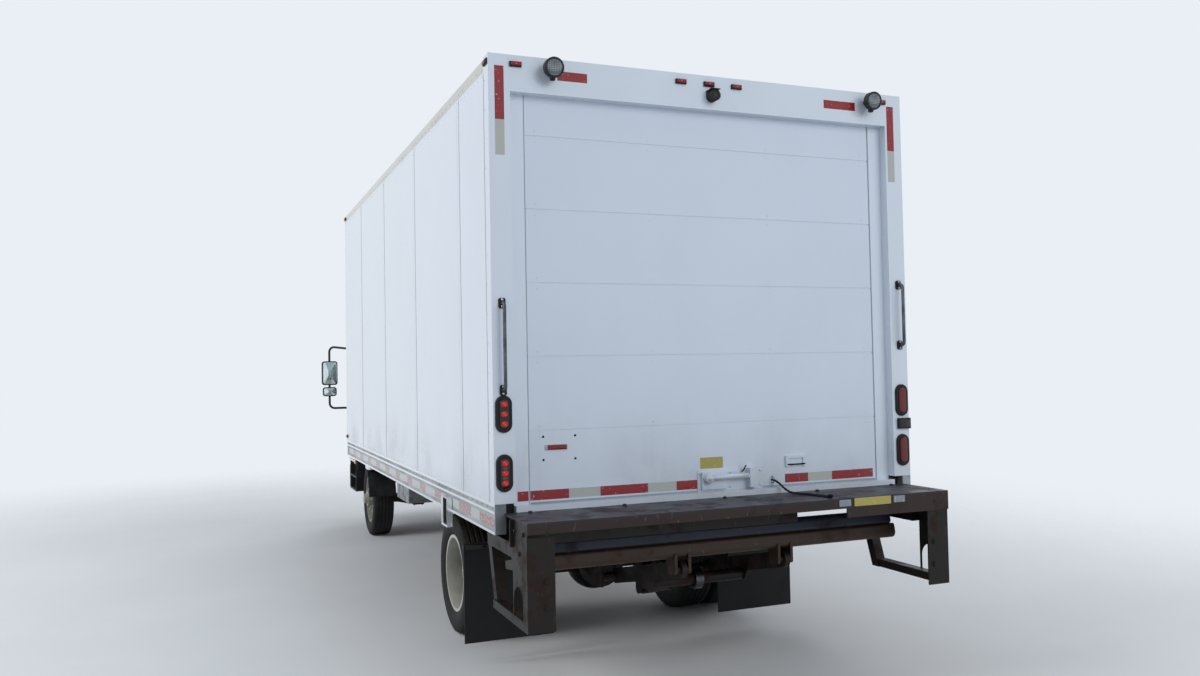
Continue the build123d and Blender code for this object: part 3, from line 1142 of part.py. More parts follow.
def folded_platform():
    """Platform and flip-over section folded on each other, with pin brackets at the arms' ends."""
    low, layer, w = PLATFORM_BOTTOM, PLATFORM_LAYER, PLATFORM_HALF_WIDTH
    slope = Pos(PLATFORM_REAR, 0, low) * Rot(0, PLATFORM_TILT, 0)
    nose, thin, shorter, narrower = 34.0, 45.0, 60.0, 20.0
    tip = PLATFORM_LENGTH
    lower = [(0, 0), (0, layer), (tip, layer), (tip, layer - thin), (tip / 2, 0)]
    upper = [(0, layer), (0, 2 * layer), (tip / 2, 2 * layer), (tip - shorter, layer + thin), (tip - shorter, layer)]
    pack = slope * side_prism(lower, (-w, w), [nose, nose / 2, 10, 10, 60])
    pack += slope * side_prism(upper, (-w + narrower, w - narrower), [nose / 2, nose, 60, 10, 0])
    ribs, rib_width, rib_depth = 5, 12.0, 14.0
    for i in range(ribs):
        bay = around(-w + (2 * i + 1) * w / ribs, 2 * w / ribs - rib_width)
        pack -= slope * block((tip / 2, tip + CUT), bay, (-CUT, layer - thin - rib_depth))
    x, z = ARM_END
    bracket_gap, bracket_sheet, pin_length = 40.0, 16.0, 100.0
    for side in (-1, 1):
        for y in around(ARM_Y, 2 * bracket_gap):
            pack += side_prism([(x - 20, z - 20), (x + 60, z - 35), (x + 90, low), (x - 20, low + 20)],
                               around(side * y, bracket_sheet), [15, 15, 0, 0])
        pack += rod("y", ARM_PIN_RADIUS, (x, side * ARM_Y, z), pin_length)
    return pack


def cylinder_axis():
    """Unit (x, z) direction from the cylinder's base to the tie tube, and the length between them."""
    return direction(CYLINDER_BASE, tie_point())


def along_cylinder(shape):
    """Places a shape built along +Z from the cylinder's base."""
    (dx, dz), _ = cylinder_axis()
    return Pos(CYLINDER_BASE[0], 0, CYLINDER_BASE[1]) * Rot(0, math.degrees(math.atan2(dx, dz)), 0) * shape


BARREL = (45.0, 365.0)     # barrel's ends, from the base pin
ROD_START = 190.0
ROD_TRAVEL = 90.0          # how far the rod goes in as the liftgate comes down


def lift_cylinder():
    """Cylinder barrel with its gland and its eye on the frame's pin."""
    eye_width, neck, gland_length, gland = 80.0, 50.0, 35.0, 6.0
    barrel = Pos(0, 0, sum(BARREL) / 2) * Cylinder(CYLINDER_RADIUS, BARREL[1] - BARREL[0])
    barrel += Pos(0, 0, BARREL[1] - gland_length / 2) * Cylinder(CYLINDER_RADIUS + gland, gland_length)
    eye = Rot(90, 0, 0) * Cylinder(CYLINDER_RADIUS, eye_width) + Pos(0, 0, 0.7 * neck) * Box(neck, 1.2 * neck, neck)
    shape = along_cylinder(barrel + eye)
    bore = BARREL[1] - ROD_START + ROD_TRAVEL
    shape -= along_cylinder(Pos(0, 0, BARREL[1]) * Cylinder(ROD_RADIUS + FIT, 2 * bore))
    return shape - rod("y", ARM_PIN_RADIUS + FIT, (CYLINDER_BASE[0], 0, CYLINDER_BASE[1]), 2 * eye_width)


def lift_rod():
    """Piston rod with the loose eye that pushes on the tie tube."""
    _, length = cylinder_axis()
    eye_wall, eye_width = 15.0, 50.0
    end = length - EYE_RADIUS - SINK
    bar = Pos(0, 0, (ROD_START + end) / 2) * Cylinder(ROD_RADIUS, end - ROD_START)
    ring = Cylinder(EYE_RADIUS + eye_wall, eye_width) - Cylinder(EYE_RADIUS, eye_width + CUT)
    return along_cylinder(bar + Pos(0, 0, length) * Rot(90, 0, 0) * ring)


SHELL = cab_shell()
LEFT_KNUCKLE, LEFT_WHEEL, LEFT_TYRE = steering_knuckle(), front_wheel(), front_tyre()
LEFT_TWINS, LEFT_TWIN_TYRES, LEFT_DOOR, LEFT_GLASS = rear_wheels(), rear_tyres(), door(SHELL), door_glass()
NODES = {
    "box_floor": box_floor(),
    "floor_bearers": floor_bearers(),
    "box_sills": box_sills(),
    "bottom_rails": bottom_rails(),
    "side_walls": side_walls(),
    "top_rails": top_rails(),
    "roof_panel": roof_panel(),
    "front_wall": front_wall(),
    "rear_frame": rear_frame(),
    "roll_up_door": roll_up_door(),
    "door_latch": door_latch(),
    "pull_strap": pull_strap(),
    "tail_lamps": tail_lamps(),
    "roof_lamps": roof_lamps(),
    "mud_flaps": mud_flaps(),
    "frame_rails": frame_rails(),
    "frame_crossmembers": frame_crossmembers(),
    "engine_block": engine_block(),
    "fuel_tank": fuel_tank(),
    "battery_box": battery_box(),
    "exhaust_muffler": exhaust_muffler(),
    "drive_shaft": drive_shaft(),
    "front_axle_beam": front_axle_beam(),
    "steering_knuckle_left": LEFT_KNUCKLE,
    "steering_knuckle_right": right(LEFT_KNUCKLE),
    "rear_axle": rear_axle(),
    "leaf_springs": leaf_springs(),
    "front_wheel_left": LEFT_WHEEL,
    "front_wheel_right": right(LEFT_WHEEL),
    "front_tyre_left": LEFT_TYRE,
    "front_tyre_right": right(LEFT_TYRE),
    "rear_wheels_left": LEFT_TWINS,
    "rear_wheels_right": right(LEFT_TWINS),
    "rear_tyres_left": LEFT_TWIN_TYRES,
    "rear_tyres_right": right(LEFT_TWIN_TYRES),
    "dock_plate": dock_plate(),
    "side_guards": side_guards(),
    "lift_frame": lift_frame(),
    "lift_arms": lift_arms(),
    "folded_platform": folded_platform(),
    "lift_cylinder": lift_cylinder(),
    "lift_rod": lift_rod(),
    "cab_floor": cab_floor(),
    "cab_back_panel": cab_back_panel(SHELL),
    "cab_sides": cab_sides(SHELL),
    "cab_roof": cab_roof(SHELL),
    "cab_front_panel": cab_front_panel(SHELL),
    "grille": grille(),
    "cab_glass": cab_glass(),
    "door_left": LEFT_DOOR,
    "door_right": right(LEFT_DOOR),
    "door_glass_left": LEFT_GLASS,
    "door_glass_right": right(LEFT_GLASS),
    "front_fenders": front_fenders(),
    "dashboard": dashboard(),
    "steering_wheel": steering_wheel(),
    "seats": seats(),
    "headlamps": headlamps(),
    "mirrors": mirrors(),
    "front_bumper": front_bumper(),
}

os.makedirs("parts", exist_ok=True)
for name, shape in NODES.items():
    solids = [Pos(ORIGIN_SHIFT, 0, 0) * solid for solid in shape.solids()]
    export_step(solids[0] if len(solids) == 1 else Compound(children=solids), f"parts/{name}.step")
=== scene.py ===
"""Dresses the low-cab box truck: finishes for every piece of the model, and the fittings that sit on it.

X runs forward, Y to the truck's left and Z up from the ground. Places are in metres and, where a function's
description says so, sizes are in mm.
"""
import math

import bmesh
import bpy
import numpy as np
from mathutils import Matrix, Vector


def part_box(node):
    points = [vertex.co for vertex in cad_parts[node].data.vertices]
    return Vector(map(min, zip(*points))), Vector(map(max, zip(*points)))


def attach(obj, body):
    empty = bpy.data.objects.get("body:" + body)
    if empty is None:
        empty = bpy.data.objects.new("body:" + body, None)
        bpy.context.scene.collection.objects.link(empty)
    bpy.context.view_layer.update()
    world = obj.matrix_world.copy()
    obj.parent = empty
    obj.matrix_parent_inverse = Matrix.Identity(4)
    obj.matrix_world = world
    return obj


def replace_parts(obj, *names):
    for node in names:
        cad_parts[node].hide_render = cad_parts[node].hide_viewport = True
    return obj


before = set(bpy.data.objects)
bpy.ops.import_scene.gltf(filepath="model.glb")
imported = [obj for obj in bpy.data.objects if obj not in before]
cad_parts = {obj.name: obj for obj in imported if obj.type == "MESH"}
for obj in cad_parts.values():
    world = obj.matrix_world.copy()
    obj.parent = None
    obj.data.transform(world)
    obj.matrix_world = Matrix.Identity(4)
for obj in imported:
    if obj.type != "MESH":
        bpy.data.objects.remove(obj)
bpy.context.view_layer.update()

MM = 0.001
TAU = 2 * math.pi


# Where the model's own pieces are

def span(node, axis):
    """Lowest and highest place of a node along an axis."""
    low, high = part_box(node)
    return low[axis], high[axis]


X, Y, Z = range(3)
SIDES = (("left", 1), ("right", -1))
REAR, BOX_FRONT = span("bottom_rails", X)
BOX_SIDE = span("side_walls", Y)[1]
BOX_TOP = span("roof_panel", Z)[1]
FLOOR = span("box_floor", Z)[1]
RAIL_FOOT = FLOOR - 153 * MM
DOOR_FACE = span("roll_up_door", X)[0]
DOOR_FOOT, DOOR_TOP = span("roll_up_door", Z)
DOOR_SIDE = span("roll_up_door", Y)[1]
PLATE_TOP = span("dock_plate", Z)[1]
PLATE_EDGE = span("dock_plate", X)[0]
FRONT_AXLE = sum(span("front_tyre_left", X)) / 2
REAR_AXLE = sum(span("rear_tyres_left", X)) / 2
TYRE_RADIUS = span("front_tyre_left", Z)[1] / 2


def station(millimetres):
    """X of a place measured forward from the load box's rear face."""
    return REAR + millimetres * MM


def at(x, y, z):
    """A place: its x is in mm forward of the load box's rear face, its y and z are in metres."""
    return station(x), y, z


# Meshes from whole arrays

def grid_faces(rows, columns, wrap_rows=False, wrap_columns=True):
    """Corner numbers of every square of a grid whose points are counted row by row."""
    r = np.arange(rows if wrap_rows else rows - 1)[:, None]
    c = np.arange(columns if wrap_columns else columns - 1)[None, :]
    r2, c2 = (r + 1) % rows, (c + 1) % columns
    return np.stack([r * columns + c, r * columns + c2, r2 * columns + c2, r2 * columns + c], -1).reshape(-1, 4)


def copies(faces, points, count):
    """The faces of a count of equal grids that follow each other, each with so many points."""
    return (np.arange(count)[:, None, None] * points + faces[None]).reshape(-1, 4)


def unit(rows):
    """Each row divided by its length."""
    rows = np.asarray(rows, float)
    return rows / np.linalg.norm(rows, axis=-1, keepdims=True)


def placed(name, data):
    """New object in the scene."""
    made = bpy.data.objects.new(name, data)
    bpy.context.scene.collection.objects.link(made)
    return made


def weld(piece, distance=1e-6):
    """Joins points that share a place, so that poles and seams are closed, and turns every face outwards."""
    work = bmesh.new()
    work.from_mesh(piece.data)
    bmesh.ops.remove_doubles(work, verts=work.verts, dist=distance)
    bmesh.ops.dissolve_degenerate(work, edges=work.edges, dist=distance)
    bmesh.ops.recalc_face_normals(work, faces=work.faces)
    work.to_mesh(piece.data)
    work.free()


def mesh_piece(name, points, faces, finish, body="truck", smooth=True, seam=1e-6):
    """Object made from arrays of points and of four-cornered faces; it rides on a body and takes a finish.

    Points nearer than the seam are joined.
    """
    mesh = bpy.data.meshes.new(name)
    mesh.from_pydata(np.asarray(points, float).reshape(-1, 3).tolist(), [], np.asarray(faces).tolist())
    mesh.validate()
    mesh.polygons.foreach_set("use_smooth", np.full(len(mesh.polygons), smooth))
    piece = placed(name, mesh)
    mesh.materials.append(finish)
    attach(piece, body)
    weld(piece, seam)
    return piece


def rounded(half_width, half_height, radius, steps=6):
    """Outline of a rectangle with round corners: four quarter circles of the radius, run anticlockwise."""
    radius = min(radius, half_width, half_height)
    turn = np.linspace(0, math.pi / 2, steps)
    arcs = []
    for k, (side, level) in enumerate(((1, 1), (-1, 1), (-1, -1), (1, -1))):
        angle = turn + k * math.pi / 2
        arcs.append(np.stack([side * (half_width - radius) + radius * np.cos(angle),
                              level * (half_height - radius) + radius * np.sin(angle)], -1))
    return np.concatenate(arcs)


def repeated(name, shape, centres, finish, body, smooth):
    """A form, given as rows of rings of points, at one place or at several."""
    places = np.atleast_2d(np.asarray(centres, float))
    rows, columns = shape.shape[:2]
    faces = copies(grid_faces(rows, columns), rows * columns, len(places))
    return mesh_piece(name, places[:, None, None] + shape, faces, finish, body, smooth)


AXES = {"back": ((0, -1, 0), (0, 0, 1), (-1, 0, 0)), "front": ((0, 1, 0), (0, 0, 1), (1, 0, 0)),
        "left": ((-1, 0, 0), (0, 0, 1), (0, 1, 0)), "right": ((1, 0, 0), (0, 0, 1), (0, -1, 0)),
        "up": ((0, -1, 0), (1, 0, 0), (0, 0, 1))}
LEVEL = ((1, 0, 0), (0, 1, 0), (0, 0, 1))


def pads(name, centres, size, radius, rows, finish, facing="back", body="truck", steps=6, smooth=True):
    """Raised pads: an outline with round corners, carried outwards over rows of (inset, height), closed at both ends.

    A point of row k is centre + u * across + v * up + height * outward, where (u, v) runs round the outline shrunk by
    the row's inset. The first and last rows shrink to one point, which closes the pad. Size, radius and rows are in
    mm. Rows that aren't a list are plain numbers: the heights of foot and rim, without inset, then inset and height
    in turn.
    """
    across, up, outward = (np.array(axis, float) for axis in (AXES[facing] if isinstance(facing, str) else facing))
    if not isinstance(rows, list):
        rows = [(0, rows[0]), (0, rows[1]), *zip(rows[2::2], rows[3::2])]
    width, tall = np.asarray(size) * MM
    rings = []
    for inset, height in [(None, rows[0][1]), *rows, (None, rows[-1][1])]:
        if inset is None:
            ring = np.zeros((4 * steps, 2))
        else:
            inset = inset * MM
            ring = rounded(width / 2 - inset, tall / 2 - inset, max(radius * MM - inset, 0.2 * MM), steps)
        rings.append(ring[:, :1] * across + ring[:, 1:] * up + height * MM * outward)
    return repeated(name, np.stack(rings), centres, finish, body, smooth)


def turned(name, profile, centres, finish, axis=(-1, 0, 0), body="truck", steps=32, smooth=True):
    """Turned forms: each (radius, along) of the profile, in mm, runs a full circle about the axis through a centre.

    The point at angle a is centre + radius * (cos a * first + sin a * second) + along * axis.
    """
    axis = unit(axis)
    first = unit(np.cross([0, 0, 1.0] if abs(axis[2]) < 0.9 else [1.0, 0, 0], axis))
    second = np.cross(axis, first)
    angle = np.linspace(0, TAU, steps, endpoint=False)
    circle = np.cos(angle)[:, None] * first + np.sin(angle)[:, None] * second
    radius, along = np.asarray(profile, float).T * MM
    shape = radius[:, None, None] * circle[None] + along[:, None, None] * axis
    return repeated(name, shape, centres, finish, body, smooth)


def arc(before, corner, after, reach, steps):
    """Quadratic curve (1 - t)^2 * start + 2 t (1 - t) * corner + t^2 * end that rounds a corner of a line.

    It starts a reach before the corner and ends a reach after it, but never beyond 0.49 of the way to a neighbour.
    """
    start, end = (corner + (other - corner) * min(0.49, reach / np.linalg.norm(other - corner))
                  for other in (before, after))
    t = np.linspace(0, 1, steps)[:, None]
    return (1 - t) ** 2 * start + 2 * t * (1 - t) * corner + t ** 2 * end


def tube(name, points, radius, finish, body="truck", bend=0.0, sides=14):
    """Round bar along a line whose inner corners are rounded by arcs with the bend as their reach.

    A circle of points is carried along the line, square to it, and the last circle at each end shrinks to its middle.
    Radius and bend are in mm.
    """
    points = np.asarray(points, float)
    path = np.concatenate([points[:1], *(arc(*three, bend * MM, 6) for three in zip(points, points[1:], points[2:])),
                           points[-1:]])
    path = path[np.r_[True, np.linalg.norm(np.diff(path, axis=0), axis=1) > 1e-7]]
    tangent = unit(np.gradient(path, axis=0))
    across = unit(np.cross(tangent, np.linalg.svd(path - path.mean(0))[2][2]))
    angle = np.linspace(0, TAU, sides, endpoint=False)[None, :, None]
    up = np.cross(across, tangent)
    skin = path[:, None] + radius * MM * (np.cos(angle) * across[:, None] + np.sin(angle) * up[:, None])
    middle = skin.mean(1, keepdims=True)
    skin = np.concatenate([np.repeat(middle[:1], sides, 1), skin, np.repeat(middle[-1:], sides, 1)])
    return mesh_piece(name, skin, grid_faces(len(skin), sides), finish, body)


# Finishes

def linear(code):
    """Linear colour of an sRGB hex code."""
    value = np.array([int(code[i:i + 2], 16) for i in (1, 3, 5)]) / 255
    return (*np.where(value <= 0.04045, value / 12.92, ((value + 0.055) / 1.055) ** 2.4), 1.0)


def add(tree, kind, values=None, **settings):
    """Adds a node and gives its outputs. Settings are its own; values go to its sockets, plain or as links."""
    made = tree.nodes.new("ShaderNode" + kind)
    for key, value in settings.items():
        setattr(made, key, value)
    for key, value in (values or {}).items():
        if isinstance(value, bpy.types.NodeSocket):
            tree.links.new(value, made.inputs[key])
        else:
            made.inputs[key].default_value = value
    return made.outputs


class Finish:
    """A material with one Principled shader, and the nodes that a finish is built from."""

    def __init__(self, name, **sockets):
        self.made = bpy.data.materials.new(name)
        self.made.use_nodes = True
        self.tree = self.made.node_tree
        self.tree.nodes.clear()
        surface = self.add("BsdfPrincipled", {key.replace("_", " "): value for key, value in sockets.items()})[0]
        self.shader = surface.node
        self.add("OutputMaterial", {"Surface": surface})

    def add(self, kind, values=None, **settings):
        return add(self.tree, kind, values, **settings)

    def done(self, colour, rough=None, relief=None, depth=0.0, strength=1.0):
        """Feeds the shader and gives the material. A relief of 0 to 1 stands for the depth in metres."""
        bump = relief and self.add("Bump", {"Height": relief, "Distance": depth, "Strength": strength})[0]
        for socket, value in (("Base Color", colour), ("Roughness", rough), ("Normal", bump)):
            if value:
                self.tree.links.new(value, self.shader.inputs[socket])
        return self.made

    def place(self, stretch=(1, 1, 1)):
        """Object coordinates, divided along each axis by the stretch."""
        return self.add("Mapping", {"Vector": self.add("TexCoord")["Object"], "Scale": [1 / s for s in stretch]})[0]

    def parts(self, vector=None):
        """X, y and z of a vector, or of the point that is seen."""
        return self.add("SeparateXYZ", {0: vector or self.place()})

    def cloud(self, size, detail=4.0, stretch=(1, 1, 1), rough=0.55):
        """Soft noise from 0 to 1 whose blots are about the size across, in metres."""
        return self.add("TexNoise", {"Vector": self.place(stretch), "Scale": 1 / size, "Detail": detail,
                                     "Roughness": rough})[0]

    def cells(self, pitch, randomness=0.0, **settings):
        """Distance within the cells of a net, the pitch apart in metres: from their middles, or from their edges."""
        return self.add("TexVoronoi", {"Vector": self.place(), "Scale": 1 / pitch, "Randomness": randomness},
                        **settings)["Distance"]

    def band(self, value, low, high, first=0.0, last=1.0):
        """Runs from first to last as the value goes from low to high, and stays level outside."""
        return self.add("MapRange", {0: value, 1: low, 2: high, 3: first, 4: last},
                        interpolation_type="SMOOTHSTEP")[0]

    def work(self, operation, first, second=0.0):
        """Result of a sum, product or other operation on a value or two."""
        return self.add("Math", {0: first, 1: second}, operation=operation)[0]

    def times(self, first, second):
        return self.work("MULTIPLY", first, second)

    def plus(self, first, second):
        return self.work("ADD", first, second)

    def blend(self, factor, first, second):
        """Mixes two colours, hex codes or sockets, by the factor."""
        first, second = (linear(c) if isinstance(c, str) else c for c in (first, second))
        return self.add("Mix", {0: factor, 6: first, 7: second}, data_type="RGBA")[2]


def gloss_enamel(name, clean, dirt, waves=0.0, low=1.1, high=1.6, share=0.5, rough=(0.16, 0.5), coat=0.6):
    """Sprayed gloss enamel: clear reflections, faint long waves in the sheet, road film that thickens downwards."""
    m = Finish(name, IOR=1.5, Coat_Weight=coat, Coat_Roughness=0.05, Coat_IOR=1.5)
    film = m.times(m.band(m.parts()[2], high, low, 0.12, 1.0), m.band(m.cloud(0.6, 5), 0.35, 0.75))
    film = m.times(film, m.band(m.cloud(0.05, 5, (1, 1, 9)), 0.3, 0.8, 0.35, share))
    peel = m.times(m.cloud(0.004, 2), 0.00004)
    if waves:
        peel = m.plus(peel, m.times(m.cloud(0.42, 2, (1, 1, 3.2)), waves))
    return m.done(m.blend(film, clean, dirt), m.band(film, 0.0, 0.5, *rough), peel, 1.0)


def wheel_enamel():
    """Wheel enamel: cream, dulled by road film, and turning a blotchy brown towards the hub's depth: painted shade in
    the dish, mixed with brake dust.
    """
    m = Finish("wheel enamel", IOR=1.5, Coat_Weight=0.3, Coat_Roughness=0.2)
    out = m.work("ABSOLUTE", m.parts()[1])
    # Darker inboard, deeper in the dish: painted shade there, mottled with brake dust.
    film = m.times(m.band(out, 0.86, 1.10, 0.85, 0.05), m.band(m.cloud(0.12, 6), 0.2, 0.7, 0.5, 1.0))
    return m.done(m.blend(film, "#c9c8bd", "#4f493f"), m.band(film, 0.0, 0.8, 0.3, 0.75), m.cloud(0.004, 3), 0.0001)


def mill_metal(name, clean, dull, rough=(0.3, 0.55), grain=(30, 1, 1), pits=0.00006):
    """Rolled or extruded bare metal: fine draw lines one way, dull oxide blots, soft broad reflections."""
    m = Finish(name, Metallic=1.0)
    oxide, lines = m.band(m.cloud(0.11, 7), 0.35, 0.7), m.cloud(0.002, 3, grain)
    mixed = m.plus(m.times(oxide, 0.7), m.times(lines, 0.3))
    return m.done(m.blend(oxide, clean, dull), m.band(mixed, 0.1, 0.9, *rough), lines, pits)


def beaded_rail():
    """Extruded side rail: its raised beads carry a painted highlight and are smoother, and the flats between them are
    darker, partly painted shade and partly dull, dusty metal.
    """
    m = Finish("extruded aluminium rail", Metallic=0.85)
    # The bright bead colour #eef1f3 is a painted highlight; the darker flats between beads are partly painted shade.
    bead = m.band(m.work("ABSOLUTE", m.parts()[1]), BOX_SIDE - 3 * MM, BOX_SIDE - 0.5 * MM)
    flat = m.blend(m.band(m.cloud(0.11, 7, (3, 1, 1)), 0.35, 0.7), "#b3b9bd", "#94999b")
    return m.done(m.blend(bead, flat, "#eef1f3"), m.band(bead, 0.0, 1.0, 0.5, 0.22), m.cloud(0.002, 3, (30, 1, 1)),
                  0.00006)


def worn_steel(name, paint, rust, bright, share=(0.5, 0.62), rough=(0.42, 0.85), size=0.09, pits=0.0006, gloss=0.4,
               below=None):
    """Painted structural steel after years on the road: satin paint, rust that has broken through, pale scuffs.

    Where below gives a level and a colour, the paint under that level is this colour.
    """
    m = Finish(name, Specular_IOR_Level=gloss)
    rusty = m.band(m.cloud(size, 9, rough=0.62), *share)
    if below:
        level, colour = below
        paint = m.blend(m.band(m.parts()[2], level - 4 * MM, level + 4 * MM), colour, paint)
    scuffs = m.band(m.cloud(0.02, 8, (1, 1, 3)), 0.62, 0.72, 0.0, 0.55)
    grit = m.cloud(0.0035, 4)
    colour = m.blend(rusty, paint, m.blend(m.band(grit, 0.35, 0.65), rust, paint))
    return m.done(m.blend(scuffs, colour, bright), m.band(rusty, 0.0, 1.0, *rough),
                  m.plus(m.times(rusty, 0.5), m.times(m.times(grit, rusty), 0.5)), pits)


def plain_rubber(name, colour, dust, grain=0.0012, depth=0.00015, rough=(0.6, 0.85)):
    """Moulded black rubber or grained plastic: matt, fine grain, pale dust in patches."""
    m = Finish(name, Specular_IOR_Level=0.3)
    powder = m.band(m.cloud(0.13, 7), 0.42, 0.78, 0.05, 0.6)
    return m.done(m.blend(powder, colour, dust), m.band(powder, 0.0, 0.6, *rough), m.cloud(grain, 2), depth)


def lens(name, colour, glow, pitch=0.006):
    """Moulded lamp lens: glossy face over a square pattern of small prisms, which shows as bright and dark beads; the
    bright bead centres, in the glow colour, are painted glints.
    """
    m = Finish(name, Roughness=0.12, IOR=1.49, Specular_IOR_Level=0.3, Coat_Weight=0.4, Coat_Roughness=0.03)
    bead = m.band(m.cells(pitch), 0.1, 0.6)
    # The glow colour at each bead's centre is a painted glint over the lens's own colour.
    return m.done(m.blend(bead, glow, colour), None, bead, 0.0007, 0.6)


def lit(name, colour, strength):
    """Lit diodes behind a clear cap: they glow evenly in their own colour."""
    m = Finish(name, Roughness=0.2, Emission_Color=linear(colour), Emission_Strength=strength)
    return m.done(m.blend(m.cloud(0.002, 2), "#3c0403", "#7d0f0a"))


def twisted_rope():
    """Twisted rope, black: strands that wind once round every 30 mm show as slanting ridges, paler on their crowns and
    darker in the grooves.
    """
    m = Finish("twisted rope", Roughness=0.85, Specular_IOR_Level=0.2)
    run, around, _ = m.parts(m.add("TexCoord")["UV"])
    ridge = m.work("PINGPONG", m.plus(m.times(run, 14.0), m.times(around, 3.0)), 0.5)
    return m.done(m.blend(m.band(ridge, 0.0, 0.5), "#0e0f12", "#34353a"), None, ridge, 0.002)


def dial_face():
    """Printed dial under a clear cover: black, with a pale dot in every 12 mm square."""
    m = Finish("printed dial", Roughness=0.25, Coat_Weight=1.0, Coat_Roughness=0.02)
    return m.done(m.blend(m.band(m.cells(0.012), 0.1, 0.16), "#c9cdd0", "#0c0d0f"))


def pane(name, tint):
    """Float glass of a vehicle: thin tinted sheet with sharp reflections on both faces."""
    m = Finish(name, Base_Color=linear(tint), Roughness=0.02, IOR=1.52, Transmission_Weight=0.92)
    return m.done(None, m.band(m.cloud(0.25, 5), 0.4, 0.8, 0.0, 0.03))


def deck_boards():
    """Laminated hardwood deck: boards 150 mm wide along the load space, brown grain, oiled and scratched."""
    m = Finish("laminated oak deck")
    joint = m.band(m.work("PINGPONG", m.parts()[1], 0.075), 0.0, 0.003)
    grain, tone = m.cloud(0.006, 6, (40, 1, 1)), m.cloud(0.15, 1, (14, 1, 1))
    wood = m.blend(m.band(grain, 0.3, 0.7), "#8a6238", "#b98d58")
    wood = m.blend(m.band(tone, 0.3, 0.7, 0.0, 0.5), wood, "#6f4a2a")
    return m.done(m.blend(joint, "#24170e", wood), m.band(grain, 0.2, 0.8, 0.5, 0.75), joint, 0.0012)


def seat_cloth(name, colour, light):
    """Woven seat cloth, threads 1.5 mm apart, drawn three times as coarse so that the weave shows."""
    m = Finish(name, Roughness=0.9, Sheen_Weight=0.35, Sheen_Roughness=0.4)
    x, y, z = (m.work("SINE", m.times(way, TAU / 0.0045)) for way in m.parts())
    weave = m.band(m.plus(m.times(x, y), m.times(y, z)), -1, 1)
    tone = m.plus(m.times(weave, 0.5), m.times(m.band(m.cloud(0.2, 5), 0.4, 0.75), 0.4))
    return m.done(m.blend(tone, colour, light), None, weave, 0.0006)


def road_tyre():
    """Truck tyre rubber: carbon black, brown-grey dust in the side walls' hollows, matt."""
    m = Finish("cured tyre rubber", Specular_IOR_Level=0.25)
    dust, fine = m.band(m.cloud(0.16, 8), 0.38, 0.75, 0.05, 0.75), m.cloud(0.004, 4)
    return m.done(m.blend(m.times(dust, fine), "#131416", "#4a463f"), m.band(dust, 0.0, 0.7, 0.62, 0.9), fine, 0.0003)


def tape_stock(name, colour, dark, worn=0.2):
    """Retroreflective film: flat colour over a fine net of sealed cells 4 mm apart, with scratches."""
    m = Finish(name, Roughness=0.32, Coat_Weight=0.4, Coat_Roughness=0.15)
    net = m.band(m.cells(0.004, 0.15, feature="DISTANCE_TO_EDGE"), 0.02, 0.12)
    chips = m.band(m.cloud(0.015, 7), 0.66 - 0.25 * worn, 0.78 - 0.25 * worn)
    return m.done(m.blend(chips, m.blend(net, dark, colour), "#aeb2b4"), None, net, 0.0001)


# The enamel whites are cool, bluish whites: the faint blue is painted skylight over the real white paint.
SKY_TINTED_WHITE, ROAD_FILM = "#d3dde9", "#8b8b86"
BODY_PAINT = gloss_enamel("sprayed body enamel", SKY_TINTED_WHITE, ROAD_FILM, 0.0008)
PANEL_PAINT = gloss_enamel("prepainted aluminium sheet", "#d3dce8", "#83837d", 0.0032)
DOOR_PAINT = gloss_enamel("laminated door skin enamel", "#cfdae8", "#86857f", 0.0008)
CAB_PAINT = gloss_enamel("cab enamel", "#dbe2ea", "#8b8a84", 0.0003, 0.6, 1.3)
TOP_RAIL = gloss_enamel("anodised top rail", "#b9b8ae", "#7d7a70", 0.0004, 3.3, 3.45, 0.8)
ROOF_SKIN = gloss_enamel("one-piece roof sheet", "#dfe3e6", "#9c9a92", 0.002, 3.3, 3.5, 0.7, (0.55, 0.8), 0.0)
RAIL_METAL = beaded_rail()
RAIL_END = mill_metal("sheared rail end plates", "#9ba1a5", "#7d8387", (0.4, 0.6), (1, 1, 30))
RIVET_METAL = mill_metal("weathered rivets", "#7f8488", "#5c6165", (0.4, 0.6))
HANDLE_METAL = mill_metal("drawn aluminium bar", "#666c74", "#4f545a", (0.45, 0.62), (1, 1, 20))
TANK_METAL = mill_metal("rolled aluminium tank", "#c3c7c9", "#8d9092", (0.25, 0.5), (1, 1, 1))
BOX_METAL = mill_metal("pressed aluminium box", "#a9adaf", "#787b7c", (0.35, 0.6), (20, 1, 1))
FRAME_STEEL = worn_steel("chassis black over rolled steel", "#131416", "#2e1c13", "#34322f", (0.56, 0.74), gloss=0.3)
AXLE_STEEL = worn_steel("axle castings in black", "#161616", "#3a2316", "#3f3b37", (0.5, 0.68), gloss=0.3)
SPRING_STEEL = worn_steel("spring leaves", "#1a1817", "#432918", "#463f38", (0.44, 0.62), gloss=0.3)
ENGINE_IRON = worn_steel("sand-cast iron", "#4b4d4f", "#5b3c28", "#7a7671", (0.56, 0.72), pits=0.0012)
EXHAUST_STEEL = worn_steel("heat-browned exhaust steel", "#3c352f", "#57331e", "#645b53", (0.4, 0.6))
GATE_STEEL = worn_steel("liftgate steel under old black paint", "#120f0d", "#36221a", "#42362e", (0.44, 0.68),
                        rough=(0.45, 0.85), size=0.16, pits=0.0007, gloss=0.3)
PLATE_STEEL = worn_steel("dock plate with a rusty edge", "#24232b", "#2f2320", "#53555c", (0.45, 0.7),
                         rough=(0.38, 0.75), size=0.22, gloss=0.35, below=(PLATE_TOP - 9 * MM, "#261a14"))
DECK_STEEL = worn_steel("platform decks, blue grey over brown", "#18212e", "#2b2320", "#3f4854", (0.5, 0.74),
                        size=0.24, gloss=0.35, below=(880 * MM, "#2f2015"))
